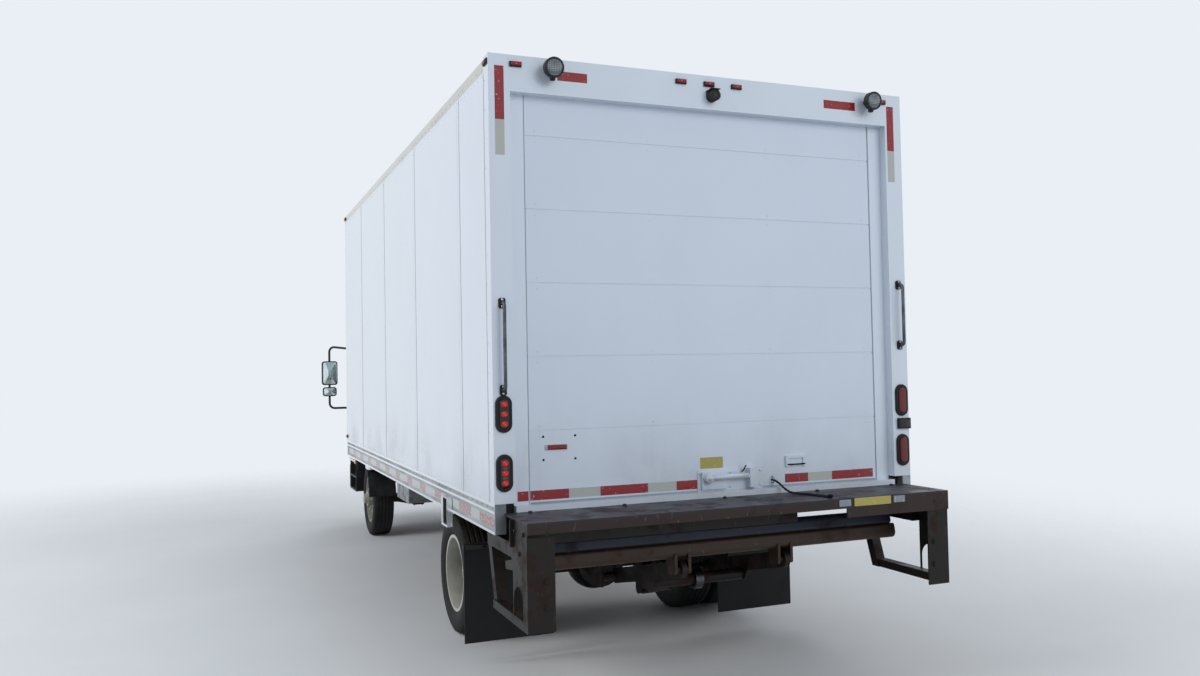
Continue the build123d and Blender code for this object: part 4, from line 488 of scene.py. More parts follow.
GREASED_ROD = mill_metal("chromed rod under grease", "#5c5d60", "#3a3835", (0.2, 0.45))
CHROME = mill_metal("hard chrome trim", "#d8dadc", "#b3b6b8", (0.06, 0.2), pits=0.00001)
BRIGHT = mill_metal("zinc-plated screws", "#b9bdbf", "#84878a", (0.3, 0.5))
WHEEL_PAINT = wheel_enamel()
TYRE = road_tyre()
FLAP = plain_rubber("mud flap rubber", "#141516", "#2b2a28")
GRAIN = plain_rubber("grained black plastic", "#191a1c", "#3c3c3b", 0.002, 0.0002, (0.45, 0.7))
SEAL = plain_rubber("extruded seal rubber", "#141516", "#3a3a38")
DASH = plain_rubber("moulded dashboard", "#34363a", "#4d4f52", 0.0018, 0.0002, (0.55, 0.7))
GLASS = pane("tinted safety glass", "#cfe0dc")
RED_LENS = lens("moulded red lens", "#4c0508", "#a8181c")
SMOKED = lens("smoked acrylic cover", "#0b0b0d", "#17171a", 0.004)
RED_DIODE = lit("lit red diodes", "#f51d14", 0.9)
RED_GLOW = lit("red lens over lit diodes", "#b0100c", 0.5)
BROWN_LENS = lens("smoked reverse lens", "#2c241d", "#6a5946")
FLOOD_LENS = lens("prismatic floodlight glass", "#565d61", "#a3abaf", 0.009)
CLEAR_LENS = lens("moulded clear lens", "#9aa1a6", "#f2f5f7", 0.009)
AMBER_LENS = lens("moulded amber lens", "#a44a05", "#ff9d2a", 0.006)
RED_TAPE = tape_stock("red reflective film", "#8f0f18", "#640a10")
WHITE_TAPE = tape_stock("white reflective film", "#b4b7b1", "#969a96")
OLD_RED = tape_stock("faded red film", "#a35f5c", "#8a4f4d", 0.75)
OLD_WHITE = tape_stock("faded white film", "#bcc0bc", "#a4a8a6", 0.75)
MIRROR = mill_metal("silvered mirror", "#dfe9e6", "#d3dedb", (0.01, 0.04), pits=0.000001)
CLOTH = seat_cloth("woven seat cloth", "#2c2f34", "#5b6068")
PIPING = seat_cloth("woven piping cord", "#17181b", "#2f3237")
SEALANT = plain_rubber("joint sealant", "#5d6166", "#8b8f93")
DARK_SCREW = mill_metal("blackened screws", "#2a2c30", "#1a1b1d", (0.35, 0.6))
YELLOW_FILM = tape_stock("faded yellow film", "#a99c48", "#93873c", 0.3)
GREY_FILM = tape_stock("faded grey film", "#7d8792", "#6b747e", 0.3)
DOOR_SEAL = plain_rubber("weathered door seal", "#8b96a4", "#a2acb7")
DIAL_FACE = dial_face()
ROPE = twisted_rope()
DECK = deck_boards()

for look, nodes in (
        (PANEL_PAINT, "side_walls front_wall"), (BODY_PAINT, "rear_frame"), (DOOR_PAINT, "roll_up_door door_latch"),
        (TOP_RAIL, "top_rails"), (ROOF_SKIN, "roof_panel"), (RAIL_METAL, "bottom_rails"), (TANK_METAL, "fuel_tank"),
        (CAB_PAINT, "cab_back_panel cab_sides cab_roof cab_front_panel door_left door_right"),
        (BOX_METAL, "battery_box"), (SPRING_STEEL, "leaf_springs"), (ENGINE_IRON, "engine_block"),
        (FRAME_STEEL, "frame_rails frame_crossmembers floor_bearers box_sills cab_floor"),
        (AXLE_STEEL, "drive_shaft front_axle_beam rear_axle steering_knuckle_left steering_knuckle_right"),
        (GRAIN, "front_bumper front_fenders steering_wheel mirrors grille"), (EXHAUST_STEEL, "exhaust_muffler"),
        (PLATE_STEEL, "dock_plate"), (GATE_STEEL, "side_guards lift_frame lift_arms lift_cylinder"),
        (DECK_STEEL, "folded_platform"), (GREASED_ROD, "lift_rod"), (DECK, "box_floor"), (FLAP, "mud_flaps"),
        (WHEEL_PAINT, "front_wheel_left front_wheel_right rear_wheels_left rear_wheels_right"),
        (GLASS, "cab_glass door_glass_left door_glass_right"), (SEAL, "tail_lamps roof_lamps"),
        (CLEAR_LENS, "headlamps"), (DASH, "dashboard"), (CLOTH, "seats"), (ROPE, "pull_strap"),
        (TYRE, "front_tyre_left front_tyre_right rear_tyres_left rear_tyres_right")):
    for node in nodes.split():
        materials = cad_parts[node].data.materials
        materials.clear()
        materials.append(look)


# Camera

def stand(made, axes, place):
    """Turns an object so that its own axes are these three, and puts it at a place."""
    made.matrix_world = Matrix([(*row, spot) for row, spot in zip(np.stack(axes, -1), place)] + [(0, 0, 0, 1)])


def camera():
    """Camera that stands where the view was taken from: behind the truck, to its left, at eye height."""
    data = bpy.data.cameras.new("camera")
    data.sensor_width, data.lens, data.clip_end = 36.0, 29.276, 500.0
    made = placed("camera", data)
    yaw, pitch, roll = (math.radians(v) for v in (-22.075, 1.883, -1.076))
    forward = np.array([math.cos(yaw) * math.cos(pitch), math.sin(yaw) * math.cos(pitch), math.sin(pitch)])
    level = np.array([math.sin(yaw), -math.cos(yaw), 0.0])
    above = np.cross(level, forward)
    across = math.cos(roll) * level + math.sin(roll) * above
    up = -math.sin(roll) * level + math.cos(roll) * above
    stand(made, (across, up, -forward), (-8.4077, 2.6423, 1.7947))
    bpy.context.scene.camera = made


camera()


# Rope tied beside the latch, from the door over the sill and across the dock plate

ROPE_ROUTE = [(station(x), y, z) for x, y, z in (
    (61, -0.366, 1.150), (15, -0.366, 1.150), (-55, -0.388, 1.096), (-100, -0.412, 1.086), (-165, -0.462, 1.086),
    (-235, -0.470, 1.086), (-315, -0.497, 1.086))]
data = bpy.data.curves.new("pull_rope", "CURVE")
data.dimensions = "3D"
data.bevel_depth, data.bevel_resolution, data.resolution_u, data.use_fill_caps = 6 * MM, 4, 12, True
spline = data.splines.new("NURBS")
spline.points.add(len(ROPE_ROUTE) - 1)
spline.points.foreach_set("co", np.c_[np.array(ROPE_ROUTE), np.ones(len(ROPE_ROUTE))].ravel())
spline.order_u, spline.use_endpoint_u = 3, True
pull_rope = placed("pull_rope", data)
data.materials.append(ROPE)
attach(pull_rope, "truck")
knot = turned("rope_knot", [(0, -16), (7, -15), (9.5, -9), (9, -3), (9.8, 3), (9, 9), (6, 14),
    (0, 15)], np.array(ROPE_ROUTE[-1]) + (0, 0, 4 * MM), ROPE, (-0.95, -0.31, 0), steps=20)
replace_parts(pull_rope, "pull_strap")
EYE_OUT = DOOR_FACE - 18 * MM
tube("rope_eye", [(x, -0.366, z) for x,
    z in ((DOOR_FACE, 1.168), (EYE_OUT, 1.168), (EYE_OUT, 1.133), (DOOR_FACE, 1.133))], 4, BRIGHT, bend=14)


# Tyres: tread, shoulders and side walls in one skin

SIDE_WALL = [(250.3, 75), (262, 82), (268, 95), (280, 99), (292, 106), (318, 111.5), (330, 112.4), (346, 112.4),
             (360, 110), (372, 108.5), (376, 106.5), (386, 103)]
TYRE_HALF, TREAD_HALF, TREAD_FOOT = 112.5 * MM, 97.5 * MM, 0.37
GROOVES, GROOVE_HALF, GROOVE_DEEP = (-56, -19, 19, 56), 5.5 * MM, 9 * MM
SLOTS, SLOT_DEEP, SIPES, SIPE_DEEP = 64, 6 * MM, 96, 2.5 * MM


def tyre_skin(name, x, middles, node, body):
    """Tyre skin turned about the axle, with a rib tread.

    The outline runs from one bead over the tread to the other. At the angle a its radius is that of the outline, less
    the grooves: four round grooves at fixed places across, slots across the two outer ribs that repeat with a, and
    narrow cuts across the inner ones.
    """
    side = np.array(SIDE_WALL) * MM
    bead = side[0, 0]
    across = np.linspace(-1, 1, 57) * TREAD_HALF
    rise = TYRE_RADIUS - (np.abs(across) / TREAD_HALF) ** 6 * 7 * MM
    outline = np.concatenate([side * (1, -1), np.stack([rise, across], -1), side[::-1],
                              [(bead, 40 * MM), (bead, -40 * MM)]])
    radius, y = outline.T[:, :, None]
    angle = np.linspace(0, TAU, 384, endpoint=False)
    groove = 0
    for place in GROOVES:
        groove = np.maximum(groove, GROOVE_DEEP * np.clip(1.2 - np.abs(y - place * MM) / GROOVE_HALF, 0, 1))
    edge = np.clip((np.abs(y) - 66 * MM) / (4 * MM), 0, 1) * (radius > TREAD_FOOT)
    groove = np.maximum(groove, SLOT_DEEP * edge * (np.cos(angle * SLOTS) > 0.62))
    inner = (np.abs(np.abs(y) - 37 * MM) < 16 * MM) & (radius > TREAD_FOOT)
    groove = np.maximum(groove, SIPE_DEEP * inner * (np.cos(angle * SIPES) > 0.8))
    ring = radius - groove
    points = np.stack(np.broadcast_arrays(x + ring * np.cos(angle), np.array(middles)[:, None, None] + y,
                                          TYRE_RADIUS + ring * np.sin(angle)), -1)
    faces = copies(grid_faces(*ring.shape, wrap_rows=True), ring.size, len(middles))
    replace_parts(mesh_piece(name, points, faces, TYRE, body), node)


for side, sign in SIDES:
    middle = sum(span(f"front_tyre_{side}", Y)) / 2
    tyre_skin(f"front_tread_{side}", FRONT_AXLE, [middle], f"front_tyre_{side}", f"front_wheel_{side}")
    near, far = sorted(abs(v) for v in span(f"rear_tyres_{side}", Y))
    tyre_skin(f"rear_treads_{side}", REAR_AXLE, [sign * (near + TYRE_HALF), sign * (far - TYRE_HALF)],
              f"rear_tyres_{side}", f"rear_wheels_{side}")


# Wheel nuts and flange bolts

NUT = [(0, -4), (19, -4), (19, 3), (16.5, 5), (15.5, 21), (12, 24), (9, 24), (8, 30), (0, 30)]
FLANGE_BOLT = [(0, -3), (9, -3), (9, 4), (7.5, 6), (0, 6)]
angle = np.arange(8) * TAU / 8
for side, sign in SIDES:
    for name, profile, axle, out, radius, wheel in (
            ("front_nuts", NUT, FRONT_AXLE, 909 * MM, 0.1225, "front_wheel"),
            ("rear_nuts", NUT, REAR_AXLE, 827 * MM, 0.1225, "rear_wheels"),
            ("axle_flange_bolts", FLANGE_BOLT, REAR_AXLE, 965 * MM, 0.058, "rear_wheels")):
        circle = np.stack([axle + radius * np.cos(angle), np.full(8, sign * out),
                           TYRE_RADIUS + radius * np.sin(angle)], -1)
        turned(f"{name}_{side}", profile, circle, BRIGHT, (0, sign, 0), f"{wheel}_{side}", 6, False)


# Reflective tapes

def tape(name, along, cuts, level, depth, facing="back", old=False, first="red"):
    """Strip of film cut in red and white blocks. Cuts are the places of the block ends along its run."""
    fixed = X if facing == "back" else Y
    other = ({X, Y, Z} - {along, fixed}).pop()
    looks = (("red", OLD_RED), ("white", OLD_WHITE)) if old else (("red", RED_TAPE), ("white", WHITE_TAPE))
    for colour, look in looks:
        for k, (start, end) in enumerate(list(zip(cuts, cuts[1:]))[int(colour != first)::2]):
            centre = np.zeros(3)
            centre[[along, fixed, other]] = (start + end) / 2, depth, level
            size = (abs(end - start) / MM, 50)
            pads(f"{name}_{colour}_{k}", centre, size if other == Z else size[::-1], 1, (-0.2, 0.25, 0.3, 0.35),
                 look, facing, steps=2, smooth=False)


FOOT_TAPE, HEADER_TAPE = DOOR_FOOT + 42 * MM, BOX_TOP - 86 * MM
tape("foot_tape_jamb", Y, [1.156, 1.096], FOOT_TAPE, DOOR_FACE - 4 * MM)
tape("foot_tape_a", Y, [1.086, 0.873, 0.695, 0.416, 0.244, 0.117], FOOT_TAPE, DOOR_FACE)
tape("foot_tape_b", Y, [-0.452, -0.609, -0.775, -1.068], FOOT_TAPE, DOOR_FACE)
tape("header_tape_left", Y, [0.920, 0.752], HEADER_TAPE, REAR)
tape("header_tape_right", Y, [-0.742, -0.964], HEADER_TAPE - 6 * MM, REAR)
tape("post_tape_left", Z, [3.366, 3.088, 2.905], BOX_SIDE - 58 * MM, REAR)
tape("post_tape_right", Z, [3.358, 3.088, 2.899], -BOX_SIDE + 78 * MM, REAR)
RED_BLOCK, WHITE_BLOCK = 279 * MM, 178 * MM
PAIRS = int((BOX_FRONT - REAR) / (RED_BLOCK + WHITE_BLOCK))
CUTS = [c for c in np.cumsum([REAR + 0.03] + [RED_BLOCK, WHITE_BLOCK] * PAIRS) if c < BOX_FRONT - 0.02]
GAP = (station(915), station(1075))
BEHIND, AHEAD = [c for c in CUTS if c < GAP[0]] + [GAP[0]], [GAP[1]] + [c for c in CUTS if c > GAP[1]]
NEXT = ("red", "white")[len(BEHIND) % 2]
for side, k, sign, cuts, first in (("left", 0, 1, BEHIND, "red"), ("left", 1, 1, AHEAD, NEXT),
                                   ("right", 0, -1, CUTS, "red")):
    tape(f"rail_tape_{side}_{k}", X, cuts, RAIL_FOOT + 58 * MM, sign * (BOX_SIDE - 5 * MM), side, True, first)


# Sides of the load box: panel joints, rivets, side lamps and the holder under the left rail

def rivets(name, centres, facing, look, radius=5, high=2.2):
    """Round-headed rivets: each head is a low dome of eight sides. Radius and height are in mm."""
    dome = [(0, -0.5), (radius, -0.5), (radius, 0.3), (radius * 0.8, high * 0.7), (0, high)]
    turned(name, dome, centres, look, AXES[facing][2], steps=8)


def row_of(start, end, pitch, **fixed):
    """Evenly spaced places between two ends along the one axis that has no fixed value."""
    count = max(2, int(abs(end - start) / pitch) + 1)
    run = np.linspace(start, end, count)
    return np.stack([np.full(count, fixed[axis]) if axis in fixed else run for axis in "xyz"], -1)


SEAMS = [station(v) for v in (649, 1923, 3153, 4386)]
WALL_FOOT, WALL_TOP = span("side_walls", Z)
WALL_MIDDLE = (WALL_FOOT + WALL_TOP) / 2
WALL_HIGH = (WALL_TOP - WALL_FOOT) / MM
for side, sign in SIDES:
    y = sign * BOX_SIDE
    low_rivets = row_of(REAR + 0.05, BOX_FRONT - 0.05, 0.1, y=y - sign * 5 * MM, z=FLOOR - 24 * MM)
    rivets(f"rail_rivets_{side}", low_rivets, side, RIVET_METAL, 5.5)
    places = [row_of(REAR + 0.12, BOX_FRONT - 0.03, 0.075, y=y, z=WALL_TOP - 18 * MM),
              row_of(REAR + 0.12, BOX_FRONT - 0.03, 0.075, y=y, z=WALL_FOOT + 14 * MM)]
    for x in SEAMS:
        for offset in (-14 * MM, 14 * MM):
            places.append(row_of(WALL_FOOT + 0.05, WALL_TOP - 0.05, 0.06, x=x + offset, y=y))
    rivets(f"wall_rivets_{side}", np.concatenate(places), side, PANEL_PAINT, 4.5, 1.6)
    joints = [(x, y, WALL_MIDDLE) for x in SEAMS]
    pads(f"wall_joints_{side}", joints, (46, WALL_HIGH - 4), 0.6, (-0.3, 0.7, 0.5, 1.1), PANEL_PAINT, side, steps=2,
        smooth=False)
    edges = [(x + dx, y, WALL_MIDDLE) for x in SEAMS for dx in (-24 * MM, 24 * MM)]
    pads(f"wall_sealant_{side}", edges, (5, WALL_HIGH - 4), 0.6, (-0.3, 0.4, 1.5, 0.9), SEALANT, side, steps=2,
        smooth=False)
    rivets(f"top_rail_rivets_{side}", row_of(REAR + 0.12, BOX_FRONT - 0.03, 0.1, y=y, z=BOX_TOP - 55 * MM), side,
        TOP_RAIL, 5, 2)
    pads(f"post_joint_{side}", at(90, y, (WALL_FOOT + BOX_TOP - 0.08) / 2), (5, WALL_HIGH - 10), 0.6,
        (-0.3, 0.4, 1.5, 0.9), SEALANT, side, steps=2, smooth=False)
    post = row_of(WALL_FOOT + 0.06, WALL_TOP - 0.05, 0.15, x=station(70), y=y)
    rivets(f"post_rivets_{side}", post, side, BODY_PAINT, 5, 2)
    rear_lamp = [at(46, y, BOX_TOP - 38 * MM)]
    front_lamps = [at(5440, y, BOX_TOP - 38 * MM), at(5440, y, FLOOR + 42 * MM)]
    pads(f"side_lamp_bases_{side}", rear_lamp + front_lamps, (70, 32), 8, (-1, 5, 2, 7), SEAL, side)
    for kind, lamps, look in (("rear", rear_lamp, RED_LENS), ("front", front_lamps, AMBER_LENS)):
        pads(f"side_lamp_{kind}_{side}", lamps, (54, 21), 6, (5, 9, 2, 13, 7, 15), look, side)
    pads(f"rail_cap_{side}", (REAR, sign * (BOX_SIDE - 30 * MM), FLOOR - 76.5 * MM), (57, 151), 3,
        (-1, 1.2, 1.2, 2.4), RAIL_END, smooth=False)
    # A dark steel block fills the hollow under each rear post: painted shade.
    pads(f"post_foot_shade_block_{side}", at(45, sign * 1.207, 1.059), (54, 134), 3, (-40, 0), FRAME_STEEL, smooth=False)
    under = np.array(at(4996, sign * (BOX_SIDE - 30 * MM), RAIL_FOOT))
    pads(f"turn_lamp_base_{side}", under - (0, 0, 28 * MM), (116, 56), 6, [(1, -14), (0, -13), (0, 13), (1, 14)],
        GRAIN, side)
    pads(f"turn_lamp_{side}", under + (0, sign * 14 * MM, -28 * MM), (100, 42), 5, (-1, 5, 3, 9), AMBER_LENS, side)
HOLDER_X, HOLDER_Z, RAIL_SIDE = station(995), 0.9725, span("bottom_rails", Y)[1]
# The holder's black back plate stands for the dark hollow inside its frame: painted shade.
pads("holder_shade_back", (HOLDER_X, BOX_SIDE + 4 * MM, HOLDER_Z), (136, 163), 2, (-1, 1, 1, 1.6), GRAIN, "left",
    smooth=False)
pads("holder_strip", at(1062, RAIL_SIDE, HOLDER_Z), (12, 168), 3, (-28, -1.2, 1, -0.2), CHROME, "left")
pads("holder_foot", (HOLDER_X, RAIL_SIDE, 0.8905), (142, 10), 3, (-28, -1.2, 1, -0.2), RAIL_METAL, "left")


# Dock plate, guards, platform and flaps

def bolt_heads(name, centres, axis, look, radius=11):
    """Hexagonal bolt heads on washers: a low disc with a six-sided prism on it, chamfered at its top."""
    washer = [(0, -1), (1.45 * radius, -1), (1.45 * radius, 1.6), (1.3 * radius, 2.4), (0, 2.4)]
    turned(f"{name}_washers", washer, centres, look, axis, steps=18)
    top = 2 + 0.7 * radius
    head = [(0, 2), (radius, 2), (radius, 2 + 0.55 * radius), (0.86 * radius, top), (0, top)]
    turned(f"{name}_heads", head, centres, look, axis, steps=6, smooth=False)


LABEL_Z = PLATE_TOP - 25 * MM
pads("blank_plate", (PLATE_EDGE, -0.729, LABEL_Z), (242, 44), 4, (-0.2, 0.4, 0.4, 0.7), YELLOW_FILM, steps=3,
    smooth=False)
pads("blank_labels", [(PLATE_EDGE, y, LABEL_Z) for y in (-0.548, -0.906)], (76, 36), 4, (-0.2, 0.3, 0.3, 0.6),
    GREY_FILM, steps=3, smooth=False)
# A dark steel sheet under the dock plate closes the gaps behind it, so that they are dark: painted shade.
pads("plate_shade_apron", at(-161, 0.44, 1.005), (1650, 133), 3, (-8, 0), GATE_STEEL, smooth=False)
bolt_heads("plate_bolts", [at(-40, y, PLATE_TOP) for y in (-1.12, -0.6, 0.0, 0.6, 1.12)], (0, 0, 1), PLATE_STEEL)
GUARD_REAR, GUARD_SIDE, GUARD_FOOT = span("side_guards", X)[0], span("side_guards", Y)[1], span("side_guards", Z)[0]
FLAP_REAR = span("mud_flaps", X)[0]
for side, sign in SIDES:
    bolt_heads(f"guard_bolts_{side}", [(GUARD_REAR - 0.5 * MM, sign * (GUARD_SIDE - 98 * MM), GUARD_FOOT + dz)
        for dz in (0.115, 0.24, 0.465)], (-1, 0, 0), GATE_STEEL, 13)
    bolt_heads(f"cheek_bolts_{side}", [(GUARD_REAR + dx, sign * GUARD_SIDE, GUARD_FOOT + dz) for dx,
        dz in ((0.05, 0.46), (0.18, 0.46), (0.115, 0.36))], (0, sign, 0), GATE_STEEL)
    for k, y in enumerate((0.68, 0.86, 1.04)):
        pads(f"flap_bolts_{side}_{k}", (FLAP_REAR, sign * y, 0.715), (26, 14), 6, (-0.5, 2, 2, 4), BRIGHT)
    pads(f"flap_bar_{side}", (FLAP_REAR, sign * 0.86, 0.716), (600, 34), 3, (-0.5, 3, 1, 4), GATE_STEEL)


# Lamps and camera on the rear frame

MARKERS = [at(-18, y, BOX_TOP - 49 * MM) for y in (1.15, 0.197, 0.022, -0.153, -1.15)]
pads("marker_lenses", MARKERS, (54, 19), 5, (-6, 1, 1.5, 2.6, 4, 3.4), RED_LENS)
turned("marker_diodes", [(0, 0), (4.6, 0), (3.8, 1.2), (2.2, 2), (0, 2.3)], [(x - 2.8 * MM, y, z) for x, y,
    z in MARKERS], RED_DIODE, steps=16)

FLOOD_AIM = np.array((-0.99, 0, -0.139))
FLOODS = [np.array(at(-26, y, BOX_TOP - 62 * MM)) + 62 * MM * FLOOD_AIM for y in (0.9655, -1.0375)]
for name, profile, look, steps, slot in (
        ("rims", [(43, -3), (43.5, 3), (46, 5.5), (50, 5.5), (53.2, 2.5), (53.5, -9), (52.2, -11), (46, -9), (43, -3)],
         GRAIN, 48, "rubber"),
        ("bowls", [(0, -1), (44, -1), (44, 1), (30, 0.4), (14, 1.5), (8, 3), (0, 3.5)], CHROME, 40, None),
        ("lenses", [(0, 1.6), (44, 1.6), (44, 3), (32, 5.4), (16, 6.8), (0, 7.2)], FLOOD_LENS, 40, None)):
    turned(f"floodlight_{name}", profile, FLOODS, look, FLOOD_AIM, steps=steps)
for k, flood in enumerate(FLOODS):
    foot = flood - 34 * MM * FLOOD_AIM
    pads(f"floodlight_yoke_{k}", foot - (0, 0, 56 * MM), (26, 18), 4, [(1, -9), (0, -8), (0, 8), (1, 9)], GRAIN)
EYE = np.array(at(-52, 0.007, BOX_TOP - 118 * MM))
turned("camera_ring", [(17, -1), (17, 3), (22, 4), (31, 0.5), (31, -2), (17, -1)], EYE, GRAIN, steps=40)
turned("camera_eye", [(0, -0.5), (17.5, -0.5), (16, 1.6), (9, 3.4), (0, 4.2)], EYE, SMOKED, steps=32)
pads("camera_hood", EYE + (12 * MM, 0, 33 * MM), (58, 6), 2.5, [(1, -10), (0, -9), (0, 18), (1, 19)], GRAIN)

LAMP_LEVELS = (FLOOR + 155 * MM, FLOOR + 453 * MM)
LAMP_Y = BOX_SIDE - 54.5 * MM
LAMP_X = station(-16.5)
for side, sign in SIDES:
    lamps = [(LAMP_X, sign * LAMP_Y, z) for z in LAMP_LEVELS]
    look = SMOKED if sign > 0 else RED_LENS
    pads(f"tail_lamp_faces_{side}", lamps, (50, 152), 25, (-3, 0.6, 2, 2.2, 9, 3.4), look, steps=10)
    pads(f"tail_lamp_rims_{side}", [at(-8, sign * LAMP_Y, z) for z in LAMP_LEVELS], (87, 189), 43,
        (-8, 0, 3, 4.5, 8, 6, 14, 5), SEAL, steps=14)
LIT = [(LAMP_X - 3.2 * MM, LAMP_Y, z + dz) for z in LAMP_LEVELS for dz in (50 * MM, 0, -50 * MM)]
pads("tail_lamp_groups", LIT, (34, 29), 12, (-2, 0.5, 3, 1.2), RED_GLOW)
turned("tail_lamp_diodes", [(0, 0), (5.4, 0), (4, 1.6), (0, 2.2)], [(x - 0.8 * MM, y + dy, z + dz) for x, y,
    z in LIT for dy, dz in ((4 * MM, 5 * MM), (-4 * MM, -4 * MM))], RED_DIODE, steps=12)
pads("reverse_windows", [(LAMP_X - 3.2 * MM, LAMP_Y, LAMP_LEVELS[0] + dz) for dz in (25 * MM, -25 * MM)], (26, 17),
    5, (-2, 0.5, 2, 1), BROWN_LENS)
pads("small_lamp_face", at(-18, -1.252, 1.4415), (74, 50), 6, (-2, 0.6, 2, 1.8), SMOKED)


# Grab handles, round bars on bolted feet

for side, y, low, high in (("left", LAMP_Y, FLOOR + 0.574, FLOOR + 1.016),
                           ("right", -LAMP_Y, FLOOR + 0.784, FLOOR + 1.146)):
    tube(f"handle_{side}", [(REAR, y, low), at(-45, y, low), at(-45, y, high), (REAR, y, high)], 9, HANDLE_METAL,
        bend=24)
    feet = [at(-6, y, z) for z in (low, high)]
    pads(f"handle_feet_{side}", feet, (37, 53), 9, (-6, 0.5, 2, 2), GATE_STEEL)
    turned(f"handle_bolts_{side}", [(0, 0), (7, 0), (7, 4), (5, 6), (0, 6)], [(x - 2 * MM, yy, z + dz) for x, yy,
        z in feet for dz in (18 * MM, -18 * MM)], BRIGHT, steps=6, smooth=False)


# Door: hinge bolts, seals, lamp, blank sticker and latch fittings

HOLE_Y, HOLE_Z = 88.9 * MM, 60.3 * MM
HOLES = [(DOOR_FACE, DOOR_SIDE - 165.5 * MM + dy, DOOR_FOOT + 283 * MM + dz) for dy in (-HOLE_Y, HOLE_Y)
         for dz in (-HOLE_Z, HOLE_Z)]
SEAM_LEVELS = [DOOR_FOOT + (374 + 386 * k) * MM for k in range(5)]
hinge_bolts = np.array([(DOOR_FACE, y, z + dz) for y in (1.03, 0.376, -0.376, -1.03) for z in SEAM_LEVELS
                        for dz in (-28 * MM, 28 * MM)])
rivets("door_hinge_bolts", hinge_bolts, "back", DOOR_PAINT, 6.5, 1.2)
pads("door_foot_seal", (DOOR_FACE + 12 * MM, 0, DOOR_FOOT + MM), (2 * DOOR_SIDE / MM - 10, 14), 4, (0, 14, 2, 16),
    DOOR_SEAL, steps=4)
pads("door_edge_seals", [(DOOR_FACE + MM, sign * (DOOR_SIDE + 2.5 * MM), (DOOR_FOOT + DOOR_TOP) / 2)
    for sign in (1, -1)], (8, (DOOR_TOP - DOOR_FOOT) / MM - 4), 1, (-15, 0), DOOR_SEAL, steps=2, smooth=False)
turned("plate_screws", [(0, -2), (5.2, -2), (6.4, 0.4), (5.6, 2.2), (0, 3)], HOLES, DARK_SCREW, steps=12)
PLATE_LAMP = (DOOR_FACE, 0.9405, 1.3965)
pads("door_lamp_base", PLATE_LAMP, (126, 28), 5, (-0.5, 3, 1.5, 4.5), WHITE_TAPE)
pads("door_lamp_lens", np.subtract(PLATE_LAMP, (0, 5 * MM, 0)), (106, 24), 4, (2, 7, 2, 9, 6, 10), RED_LENS)
pads("blank_sticker", (DOOR_FACE, 0.0235, 1.2665), (143, 62), 3, (-0.2, 0.3, 0.3, 0.45), YELLOW_FILM, steps=3,
    smooth=False)
latch_bolts = [at(55, y, DOOR_FOOT + z) for y in (0.104, -0.285, -0.09) for z in (0.018, 0.1)]
turned("latch_bolts", [(0, -1), (8, -1), (8, 2.4), (6, 5), (0, 5.6)], latch_bolts, DOOR_PAINT, steps=8)
HUB = at(14, 0.06, DOOR_FOOT + 75 * MM)
turned("latch_pivot", [(0, 0), (26, -1), (26, 3), (22, 5), (12, 5), (10, 10), (0, 11)], HUB, DOOR_PAINT, steps=28)
tube("latch_lever_grip", [at(28, 0.05, HUB[2]), at(25, -0.05, HUB[2] + 2 * MM), at(25, -0.185, HUB[2] + 6 * MM)],
    15, DOOR_PAINT, bend=30)
tube("latch_hook", [at(50, -0.165, DOOR_FOOT + 0.1), at(30, -0.165, DOOR_FOOT + 0.112),
    at(30, -0.178, DOOR_FOOT + 0.135)], 4, DARK_SCREW, bend=10)
# A thin dark strip under the door grip's lip: painted shade in the grip's mouth.
pads("grip_mouth_shade", at(47, -0.5225, DOOR_FOOT + 121 * MM), (122, 8), 3, (-1, 0.5, 1, 0.9), DARK_SCREW)


# Cab: window seals, lamps, handles, wipers and mirror glass

CAB_REAR, CAB_FRONT = station(5830), station(7600)
BELT, ROOF = 1.480, 2.290
CAB_SIDE, LEAN = 1.020, 0.062 / (ROOF - BELT)
RAKE = 0.335 / (ROOF - BELT)


def side_y(z):
    """Distance of the cab's side from the middle plane at a height: upright to the belt, leaning in above it."""
    return CAB_SIDE - LEAN * np.clip(z - BELT, 0, None)


def screen_x(z, inset=0.0):
    """Place of the cab's face at a height above the belt: it slopes back from the cowl to the brow."""
    return CAB_FRONT - 0.075 - inset - RAKE * (z - BELT)


def rounded_run(corners, radius):
    """Closed line through (u, v) corners, each rounded by an arc with the radius as its reach."""
    corners = np.asarray(corners, float)
    return np.concatenate([arc(*three, radius, 7) for three in zip(np.roll(corners, 1, 0), corners,
                                                                   np.roll(corners, -1, 0))])


def loop_strip(name, run, outward, width, high, body):
    """Flat-sided rubber strip on a closed line: its width and height are in mm, and its outer edges are bevelled."""
    ahead = unit(np.roll(run, -1, 0) - np.roll(run, 1, 0))
    outward = unit(outward)
    section = np.array([(-0.5, -0.4), (-0.5, 0.5), (-0.3, 1), (0.3, 1), (0.5, 0.5), (0.5, -0.4)]) * (width, high) * MM
    points = run[:, None] + section[:, :1] * np.cross(outward, ahead)[:, None] + section[:, 1:] * outward
    mesh_piece(name, points, grid_faces(len(run), len(section), wrap_rows=True), SEAL, body)


def on_side(run, sign):
    """Points on the cab's side over a run of (metres forward of the load box's rear face, z) pairs."""
    return np.stack([REAR + run[:, 0], sign * side_y(run[:, 1]), run[:, 1]], -1)


